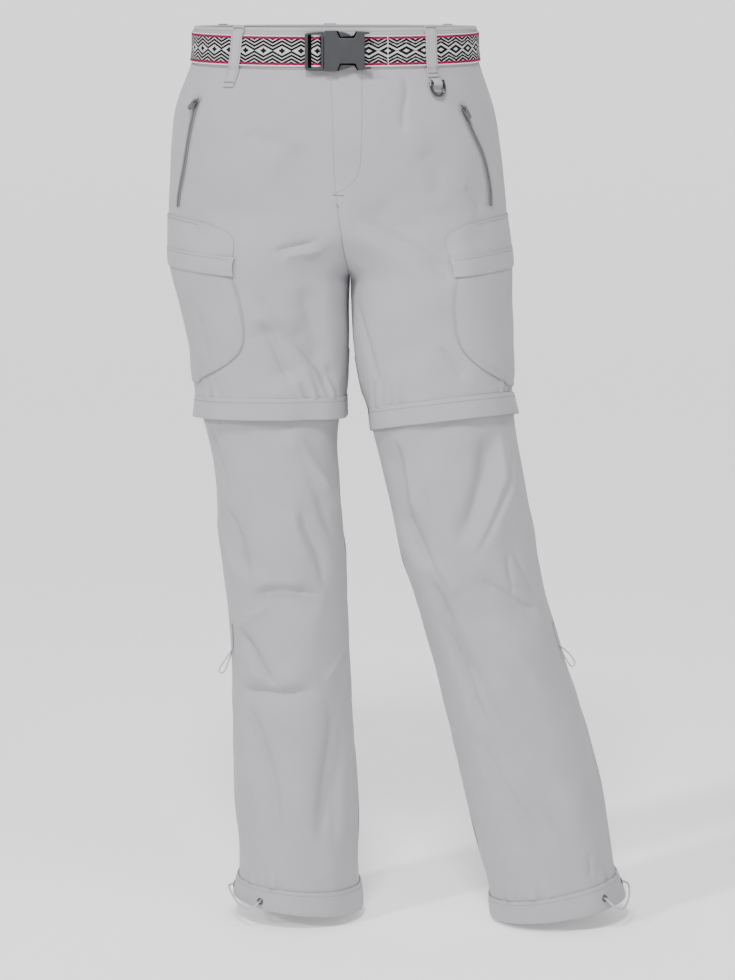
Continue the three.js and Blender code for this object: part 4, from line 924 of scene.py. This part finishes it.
def closed_tube(name, points):
    """A smooth mesh through a grid of points in mm that closes both ways."""
    long, round_ = points.shape[:2]
    k, s = np.mgrid[0:long, 0:round_]
    ahead, beside = (k + 1) % long, (s + 1) % round_
    faces = np.stack([k * round_ + s, k * round_ + beside, ahead * round_ + beside, ahead * round_ + s], -1)
    mesh = bpy.data.meshes.new(name)
    mesh.from_pydata((points.reshape(-1, 3) / 1000).tolist(), [], faces.reshape(-1, 4).tolist())
    mesh.shade_smooth()
    return mesh


# The washer's rolled section as (radius, height) in mm
WASHER = [(2.1, 0), (2.05, 0.7), (2.5, 1.15), (3.1, 1.25), (3.8, 0.95), (4.2, 0.3), (4.2, 0)]


def eyelet(name, place):
    """A washer turned about a spot's outward axis."""
    point, sideways, up, facing = place
    turn = np.linspace(0, 2 * math.pi, 28, endpoint=False)
    rim = np.cos(turn)[:, None] * sideways + np.sin(turn)[:, None] * up
    points = np.stack([point + rim * radius + facing * height for radius, height in WASHER])
    dress(name, closed_tube(name, points), eyelet_metal, "eyelet_metal", name)


for leg, spots in {"right": [(57, -995), (3.5, -993)], "left": [(48, -995), (5.5, -992)]}.items():
    for where, (angle, z) in zip(("front", "side"), spots):
        eyelet(f"eyelet_{leg}_{where}", place_on_cloth(leg, angle, z, 3.1))

# Belt loops: folded strips of the trouser cloth 14 mm wide, sewn in at the top of the waistband and
# bar-tacked below it, with a line of stitches along each edge.
BELT_HEIGHT, BELT_NOD, BELT_WIDTH, BELT_THICK = 1.5, 0.043, 34, 1.6


def level_at(leg, angle, height):
    """The section level whose cloth passes a true height at an angle."""
    angle, level = np.asarray(angle, float), np.asarray(height, float) + 0 * np.asarray(angle, float)
    for _ in range(4):
        level = level - (cloth_point(leg, angle, level)[0][..., 2] - height)
    return level


def belt_edge(y, across):
    """The belt lies in its own plane, a little lower at the front than at the back."""
    return BELT_HEIGHT + across + BELT_NOD * y


# Each loop: leg, angle at the top and at the foot, and the height of its foot
LOOPS = {"loop_front_right": ("right", 51.5, 49, -42), "loop_front_left": ("left", 50.5, 50.5, -31),
         "loop_side_right": ("right", -38, -38, -29), "loop_side_left": ("left", -38, -38, -29),
         "loop_back": ("right", -89, -89, -27)}
for name, (leg, top, bottom, end) in LOOPS.items():
    y = cloth_point(leg, np.array([float(top)]), np.array([BELT_HEIGHT]))[0][0, 1]
    upper, lower = belt_edge(y, BELT_WIDTH / 2), belt_edge(y, -BELT_WIDTH / 2)
    stations = []
    for height, lift in ((WAIST_TOP + 2, 0.4), (WAIST_TOP, 0.7), (upper + 3.2, 1.3), (upper + 0.8, 2.9),
                         (upper - 4, 3.2), (0, 3.3), (lower + 4, 3.2), (lower - 0.8, 2.9),
                         (lower - 4.5, 1.0), (lower - 8, 0.8), (end, 0.8)):
        angle = float(np.interp(WAIST_TOP - height, [0, WAIST_TOP - end], [top, bottom]))
        stations.append((angle, float(level_at(leg, angle, height)), lift))
    middle, out = strap(name, leg, 14, 1.1, stations, 56)
    ends = [cross_stitches(middle[k], out[k], 5.8, 26, 0.2) for k in (3, len(middle) - 5)]
    sew(f"{name}_tacks", ends, pitch=0.55, length=0.5, width=2.0, height=0.6)
    middle, out = middle[4:-5], out[4:-5]
    sideways = np.cross(out, [0, 0, 1])
    sew(f"{name}_stitches", [(middle + sideways * away + out * 0.1, out) for away in (-5, 5)])

# Ring and tab: a glossy black D-ring of bent wire, hung in a short folded strip below the left front
# belt loop. The strip is stitched down twice below the ring's bar.
# Steel wire, enamelled: a hard black gloss coat, which shows the lights as sharp streaks.
ring_enamel, tree, shader = new_material("black enamel on steel", Roughness=0.18, IOR=1.5)
shader.inputs["Coat Weight"].default_value = 0.6
shader.inputs["Coat Roughness"].default_value = 0.08
colour(tree, shader, object_texture(tree, "Noise", {"Scale": 300, "Detail": 2}), "#0e0e10", "#1d1d20")
RING_ANGLE, RING_BAR, RING_TURN = 50, -32.5, 0.22
RING_WIRE, RING_HALF, RING_DROP, RING_SHOULDER = 3.2, 8.4, 15.4, 4.5
TAB_THICK = 1.1
ring_lift = 0.6 + TAB_THICK + RING_WIRE / 2 + 0.4
point, sideways, up, facing = place_on_cloth("left", RING_ANGLE, RING_BAR, ring_lift)
x_axis = math.cos(RING_TURN) * sideways + math.sin(RING_TURN) * up
y_axis = math.cos(RING_TURN) * up - math.sin(RING_TURN) * sideways
flat_path = [(x, 0) for x in np.linspace(-RING_HALF, RING_HALF, 7)]
flat_path += [(RING_HALF * math.cos(t), -RING_SHOULDER - (RING_DROP - RING_SHOULDER) * math.sin(t))
              for t in np.linspace(0, math.pi, 33)]
flat_path = np.array(flat_path)
ahead, behind = np.roll(flat_path, -1, 0), np.roll(flat_path, 1, 0)
run = (ahead - behind) / np.linalg.norm(ahead - behind, axis=1, keepdims=True)
turn = np.linspace(0, 2 * math.pi, 14, endpoint=False)
radius = RING_WIRE / 2
aside = np.stack([run[:, 1], -run[:, 0]], -1)
rim = flat_path[:, None] + radius * np.cos(turn)[None, :, None] * aside[:, None]
proud = (radius * np.sin(turn))[None, :, None] * facing
points = point + rim[..., :1] * x_axis + rim[..., 1:] * y_axis + proud
dress("d_ring", closed_tube("d_ring", points), ring_enamel, "ring_enamel", "d_ring", body="ring")
over = ring_lift + RING_WIRE / 2 + 0.35
tab_profile = [(4.8, 0.6), (3.6, over * 0.6), (2, over), (-2.2, over), (-4.6, over * 0.6), (-6.4, 0.7),
               (-11.5, 0.6)]
middle, out = strap("ring_tab", "left", 11, TAB_THICK,
                    [(RING_ANGLE, RING_BAR + rise, lift) for rise, lift in tab_profile], 40)
sew("ring_tab_stitches", [cross_stitches(middle[k], out[k], 4.6, 20, 0.15) for k in (-5, -3)],
    pitch=1.4, length=1.1)

# Belt: jacquard-woven webbing 34 mm wide, in black and white with crimson edges and a light selvedge.
# The pattern is charted: zigzag lines nest round a row of diamonds, one repeat to 21.3 mm, and it
# shows reversed on the fixed end, at the viewer's right of the buckle.
webbing, tree, shader = new_material("jacquard webbing", Roughness=0.8, IOR=1.5)
shader.inputs["Specular IOR Level"].default_value = 0.15
REPEAT, PICK, END = 21.3, 1.065, 0.55
STRIPE_FROM, SELVEDGE_FROM = 13.1, 15.6
uv_map = add_node(tree, "ShaderNodeUVMap", uv_map="cut")
in_mm = add_node(tree, "ShaderNodeVectorMath", {0: uv_map.outputs["UV"], "Scale": 1000.0}, operation="SCALE")
mm = in_mm.outputs[0]
ways = add_node(tree, "ShaderNodeSeparateXYZ", {"Vector": mm}).outputs
from_middle = reckon(tree, "ABSOLUTE", reckon(tree, "SNAP", ways["Y"], END))
half_repeat = reckon(tree, "PINGPONG", reckon(tree, "SNAP", ways["X"], PICK), REPEAT / 2)
slope = reckon(tree, "MULTIPLY", half_repeat, 2 / REPEAT)


def zigzags(swing, start, apart, ink, clear):
    """Nested zigzag lines: how far they swing, the first one, and the ground left clear inside them."""
    away = reckon(tree, "MULTIPLY_ADD", slope, swing, from_middle)
    turn = reckon(tree, "FLOORED_MODULO", reckon(tree, "SUBTRACT", away, start), apart)
    outside = reckon(tree, "GREATER_THAN", away, clear)
    return away, reckon(tree, "MULTIPLY", reckon(tree, "LESS_THAN", turn, ink), outside)


# First side: lines 3.9 mm apart outside a diamond outline, with a dot in the diamond. Reversed side: a
# diamond ring, a light lattice, then lines 3.6 mm apart.
_, lines = zigzags(5.6, 6.15 - 0.975, 3.9, 2.75, 5.0)
dot = reckon(tree, "LESS_THAN", reckon(tree, "MULTIPLY_ADD", half_repeat, 0.85, from_middle), 3.4)
away, reversed_lines = zigzags(5.2, 8.2 - 0.95, 3.6, 2.6, 6.8)
ring = reckon(tree, "COMPARE", away, 3.6, 1.6)
reversed_end = add_node(tree, "ShaderNodeAttribute", attribute_name="reverse")
sides = {0: reversed_end.outputs["Fac"], 2: reckon(tree, "MAXIMUM", lines, dot),
         3: reckon(tree, "MAXIMUM", reversed_lines, ring)}
chart = add_node(tree, "ShaderNodeMix", sides, data_type="FLOAT")
fibre = add_node(tree, "ShaderNodeTexNoise", {"Vector": mm, "Scale": 1.1, "Detail": 2}).outputs["Fac"]
white, black, crimson = (blend(tree, fibre, dark, light) for dark, light in
                         (("#a9a7a9", "#cfcdcf"), ("#050506", "#101012"), ("#8e0f42", "#bc2660")))
field = blend(tree, chart.outputs[0], white, black)
stripe = blend(tree, chart.outputs[0], crimson, "#6d0b34")
striped = blend(tree, reckon(tree, "GREATER_THAN", from_middle, STRIPE_FROM), field, stripe)
woven = blend(tree, reckon(tree, "GREATER_THAN", from_middle, SELVEDGE_FROM), striped, "#cfcdd0")
tree.links.new(woven, shader.inputs["Base Color"])
rib_turns = add_node(tree, "ShaderNodeVectorMath", {0: mm, 1: (2 * math.pi / PICK, math.pi / END, 0)},
                     operation="MULTIPLY")
ribs = relief(tree, interlaced(tree, rib_turns.outputs[0]), 0.5, 0.00025)
tree.links.new(ribs, shader.inputs["Normal"])


def belt_point(turn, across, lift):
    """A spot on the belt: turn round the waist, mm across from its middle line, and lift."""
    turn, across = np.broadcast_arrays(np.asarray(turn, float), np.asarray(across, float))
    lift = np.broadcast_to(lift, turn.shape)
    found = []
    for leg, angle in (("right", 90 - turn), ("left", turn - 270)):
        y = cloth_point(leg, angle, np.full(turn.shape, float(BELT_HEIGHT)))[0][..., 1]
        found.append(cloth_point(leg, angle, level_at(leg, angle, belt_edge(y, across)), lift)[0])
    return np.where((turn <= 180)[..., None], found[0], found[1])


def chart_on(mesh, arc, rows, shape, is_reversed):
    """Lays the woven chart on a strip of webbing: mm along it, mm across it, and which side shows."""
    lay_flat(mesh, np.stack([np.broadcast_to(arc, shape), np.broadcast_to(rows, shape)], -1))
    flag = np.tile(np.broadcast_to(is_reversed, shape).astype(np.float32).ravel(), 2)
    mesh.attributes.new("reverse", "FLOAT", "POINT").data.foreach_set("value", flag)


def arc_along(line):
    """The distance along a line of points, from its start."""
    return np.r_[0, np.cumsum(np.linalg.norm(np.diff(line, axis=0), axis=1))]


BELT_LIFT = 0.8 + BELT_THICK
belt_turns = np.linspace(8, 351.5, 300)[None, :]
belt_rows = np.array([17, 16.6, 15.8, 12, 6, 0, -6, -12, -15.8, -16.6, -17.0])[:, None]
belt_round = np.array([-0.8, -0.2, 0, 0, 0, 0, 0, 0, 0, -0.2, -0.8])[:, None]
outer = belt_point(belt_turns, belt_rows, BELT_LIFT + belt_round)
mesh = cloth_mesh("belt", outer, BELT_THICK)
line = outer[5]
length = arc_along(line)
# The arc is counted from the buckle's middle on each side, so that a diamond falls where the real one does.
is_reversed = np.arange(len(line)) > len(line) / 2
arc = np.where(is_reversed, length[-1] - length + abs(line[-1, 0]) - 60.2, length + abs(line[0, 0]) - 34.7)
chart_on(mesh, arc, belt_rows, outer.shape[:2], is_reversed)
belt = dress("belt", mesh, webbing, "webbing", "belt")
# The fixed end is sewn down with one pale line of stitches beside the buckle.
end_turn = float(np.interp(60.5, line[::-1, 0][:60], belt_turns[0, ::-1][:60]))
end_line = belt_point(np.full(30, end_turn), np.linspace(-15, 15, 30), BELT_LIFT + 0.1)
pale_thread, tree, shader = new_material("pale sewing thread", Roughness=0.6, IOR=1.55)
colour(tree, shader, object_texture(tree, "Noise", {"Scale": 1500, "Detail": 1}), "#c9c7c9", "#dedcde")
set_along("belt_end_stitches", [(end_line, (0.3, -0.95, 0))], pale_thread, 1.6, 1.4, 1.3, 0.5)

# Buckle: a side-release buckle moulded in dark grey acetal, in two halves, with the webbing turned
# over the bar of the outer frame. Fine spark-eroded texture, edges slightly polished by use.
buckle_plastic, tree, shader = new_material("moulded dark grey acetal", Roughness=0.5, IOR=1.48)
colour(tree, shader, object_texture(tree, "Noise", {"Scale": 90, "Detail": 2}), "#2b2c2e", "#343538")
grain = object_texture(tree, "Noise", {"Scale": 1400, "Detail": 2})
tree.links.new(relief(tree, grain, 0.25, 0.0002), shader.inputs["Normal"])
# Painted shade: near-black plates behind the notches and in the frame's slot, standing in for the shade on
# the walls inside the notches and on the back of the webbing in the slot.
painted_recess_shade, tree, shader = new_material("painted shade of the buckle recesses", Roughness=0.9, IOR=1.48)
shader.inputs["Specular IOR Level"].default_value = 0.1
colour(tree, shader, object_texture(tree, "Noise", {"Scale": 900, "Detail": 2}), "#030303", "#080809")
low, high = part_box("buckle_socket")
BUCKLE_X, BUCKLE_Z, BUCKLE_BACK = 5.5, low.z * 1000 + 22.4, high.y * 1000
SOCKET = [(-15.2, -21.6), (-14.4, -22.4), (-1, -22.4), (2.4, -13.6), (19.4, -13.6), (22.6, -21.4),
          (37.4, -19.4), (36.6, -17.2), (29.4, -17.4), (29.4, 17.8), (35.4, 18.6), (35, 20.6),
          (21.4, 21.4), (18.2, 14), (1.8, 14), (-2, 22.2), (-14.4, 22.2), (-15.2, 21.4)]
BUCKLE_FRAME = [(-36.6, -19.2), (-34.6, -21.4), (-15.6, -22), (-15.6, 21.2), (-34.8, 19.6), (-36.6, 17.8)]
PRONG = [(0.2, 21.4), (4.6, 20.9), (9, 19.7), (13, 17.8), (16.6, 15.2), (2.8, 14.9)]
# Outlines of the near-black plates of painted shade round each notch
NOTCH_SHADES = {"top": [(-2.4, 22), (1.5, 13.4), (18.5, 13.4), (21.8, 21.2), (19.8, 21.6), (17, 16.4),
                   (3.6, 16.4), (0.2, 22)],
           "bottom": [(-1.4, -22.2), (2.1, -13), (19.7, -13), (23, -21.2), (21, -21.4), (18.2, -16),
                      (4.2, -16), (1.2, -22.2)]}
# Outline of the near-black plate of painted shade in the frame's slot
SLOT_SHADE = [(-33.4, -18.8), (-33.4, 17.8), (-28.8, 17.8), (-28.8, -18.8)]
FRAME_SLOT = [(-33, -18.6), (-33, 17.6), (-18.4, 17.6), (-18.4, -18.6)]


def eased(outline, radius=0.9):
    """An outline with each corner cut twice, so that it is softly rounded."""
    points = np.array(outline, float)
    for share in (1.0, 0.4):
        before, after = np.roll(points, 1, 0) - points, np.roll(points, -1, 0) - points
        cuts = [points + way * np.minimum(radius * share / np.linalg.norm(way, axis=1), 0.3)[:, None]
                for way in (before, after)]
        points = np.stack(cuts, 1).reshape(-1, 2)
    return points


def moulding(name, outlines, front, depth, edge, material, *nodes, crown=0.0):
    """A moulded plate with rounded edges: its outline and any slot, in mm from the buckle's middle."""
    curve = bpy.data.curves.new(name, "CURVE")
    curve.dimensions, curve.fill_mode = "2D", "BOTH"
    curve.extrude, curve.bevel_depth, curve.bevel_resolution, curve.offset = depth / 2 - edge, edge, 3, -edge
    for outline in outlines:
        spline = curve.splines.new("POLY")
        points = eased(outline)
        spline.points.add(len(points) - 1)
        for point, (x, z) in zip(spline.points, points):
            point.co = (x, z, 0, 1)
        spline.use_cyclic_u = True
    flat = bpy.data.objects.new(name, curve)
    bpy.context.scene.collection.objects.link(flat)
    graph = bpy.context.evaluated_depsgraph_get()
    mesh = bpy.data.meshes.new_from_object(flat.evaluated_get(graph))
    bpy.data.objects.remove(flat)
    plate = bmesh.new()
    plate.from_mesh(mesh)
    bmesh.ops.remove_doubles(plate, verts=plate.verts, dist=0.01)
    for x in np.arange(-36, 37, 4.0):
        geometry = plate.verts[:] + plate.edges[:] + plate.faces[:]
        bmesh.ops.bisect_plane(plate, geom=geometry, plane_co=(x, 0, 0), plane_no=(1, 0, 0))
    for corner in plate.verts:
        x, z, out = corner.co
        out += front - depth / 2 + (crown * (1 - ((x - 5) / 26) ** 2) if out > 0 else 0)
        corner.co = ((BUCKLE_X + x) / 1000, (BUCKLE_BACK - out) / 1000, (BUCKLE_Z + z) / 1000)
    bmesh.ops.recalc_face_normals(plate, faces=plate.faces)
    plate.to_mesh(mesh)
    plate.free()
    mesh.shade_smooth()
    mesh.set_sharp_from_angle(angle=math.radians(40))
    mesh.materials.clear()
    dress(name, mesh, material, "buckle_plastic", *nodes)


moulding("buckle_socket", [SOCKET], 8, 8, 0.8, buckle_plastic, "buckle_socket", crown=1.0)
moulding("buckle_frame", [BUCKLE_FRAME, FRAME_SLOT], 6.6, 6, 0.8, buckle_plastic, "buckle_frame")
for where, sign in (("top", 1), ("bottom", -1)):
    outline = [(x, sign * z) for x, z in PRONG]
    moulding(f"buckle_prong_{where}", [outline], 6.6, 5, 0.9, buckle_plastic, f"buckle_prong_{where}")
# Near-black plates of painted shade behind the notches and in the frame's slot
for where, outline in NOTCH_SHADES.items():
    moulding(f"buckle_notch_{where}", [outline], 4.4, 4, 0.1, painted_recess_shade)
moulding("painted_slot_shade", [SLOT_SHADE], 1.6, 1.0, 0.1, painted_recess_shade)
low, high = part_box("belt_turn")
arch = np.linspace(0, math.pi, 15)
low, high = np.array(low) * 1000, np.array(high) * 1000
middle, size = (low + high) / 2, high - low
x = middle[0] - size[0] / 2 * np.cos(arch)
y = high[1] - size[1] * np.sin(arch) ** 0.7
rows = np.array([17, 16.5, 15, 8, 0, -8, -15, -16.5, -17.0])[:, None]
outer = np.stack(np.broadcast_arrays(x, y, middle[2] + rows), -1)
mesh = cloth_mesh("belt_turn", outer, 1.4, inside=np.array([x.mean(), high[1] + 10, middle[2]]))
arc = arc_along(outer[4])
chart_on(mesh, arc - arc[-1] * 0.56, rows, outer.shape[:2], False)
dress("belt_turn", mesh, webbing, "webbing", "belt_turn")

# Floor and lights: a plain pale paper sweep just under the hems, a soft light high in front, one from
# each side, and a bright surround. The camera sees the surround as white as the paper.
FLOOR_GAP = 0.003
floor_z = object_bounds()[0].z - FLOOR_GAP
SWEEP_WIDTH, SWEEP_START, SWEEP_RADIUS, SWEEP_TOP = 60, 8, 5, 16
sweep = [(-SWEEP_START, 0), (SWEEP_START, 0)]
sweep += [(SWEEP_START + SWEEP_RADIUS * math.sin(t), SWEEP_RADIUS - SWEEP_RADIUS * math.cos(t))
          for t in np.linspace(0.1, math.pi / 2, 16)]
sweep += [(SWEEP_START + SWEEP_RADIUS, SWEEP_TOP)]
floor_mesh = bpy.data.meshes.new("floor")
corners = [(x, y, floor_z + rise) for y, rise in sweep for x in (-SWEEP_WIDTH / 2, SWEEP_WIDTH / 2)]
floor_mesh.from_pydata(corners, [], [(2 * k, 2 * k + 1, 2 * k + 3, 2 * k + 2) for k in range(len(sweep) - 1)])
floor_mesh.shade_smooth()
paper, tree, shader = new_material("pale studio paper", Roughness=0.9)
shader.inputs["Base Color"].default_value = linear("#fafafa")
shader.inputs["Emission Color"].default_value = linear("#ffffff")
shader.inputs["Emission Strength"].default_value = 0.3
floor_mesh.materials.append(paper)
floor = bpy.data.objects.new("floor", floor_mesh)
bpy.context.scene.collection.objects.link(floor)
world = bpy.data.worlds.new("studio")
world.use_nodes = True
tree = world.node_tree
background = tree.nodes["Background"]
background.inputs["Color"].default_value = linear("#ffffff")
seen = add_node(tree, "ShaderNodeLightPath")
bright = add_node(tree, "ShaderNodeMapRange",
                  {"Value": seen.outputs["Is Camera Ray"], "To Min": 0.42, "To Max": 1.0})
tree.links.new(bright.outputs["Result"], background.inputs["Strength"])
bpy.context.scene.world = world


def lamp(name, kind, energy, place, turn, **settings):
    """A light at a place in metres, turned by degrees."""
    data = bpy.data.lights.new(name, kind)
    data.energy = energy
    for setting, value in settings.items():
        setattr(data, setting, value)
    light = bpy.data.objects.new(name, data)
    light.location = place
    light.rotation_euler = [math.radians(angle) for angle in turn]
    bpy.context.scene.collection.objects.link(light)


# Suns are sized by their angle and the area light by its width in metres.
lamp("side", "SUN", 1.9, (0, 0, 0), (60, 0, -50), angle=math.radians(6))
lamp("fill", "SUN", 0.8, (0, 0, 0), (68, 0, 44), angle=math.radians(30))
lamp("key", "AREA", 118, (-0.32, -2.3, 2.35), (41, 0, -8), size=0.6)
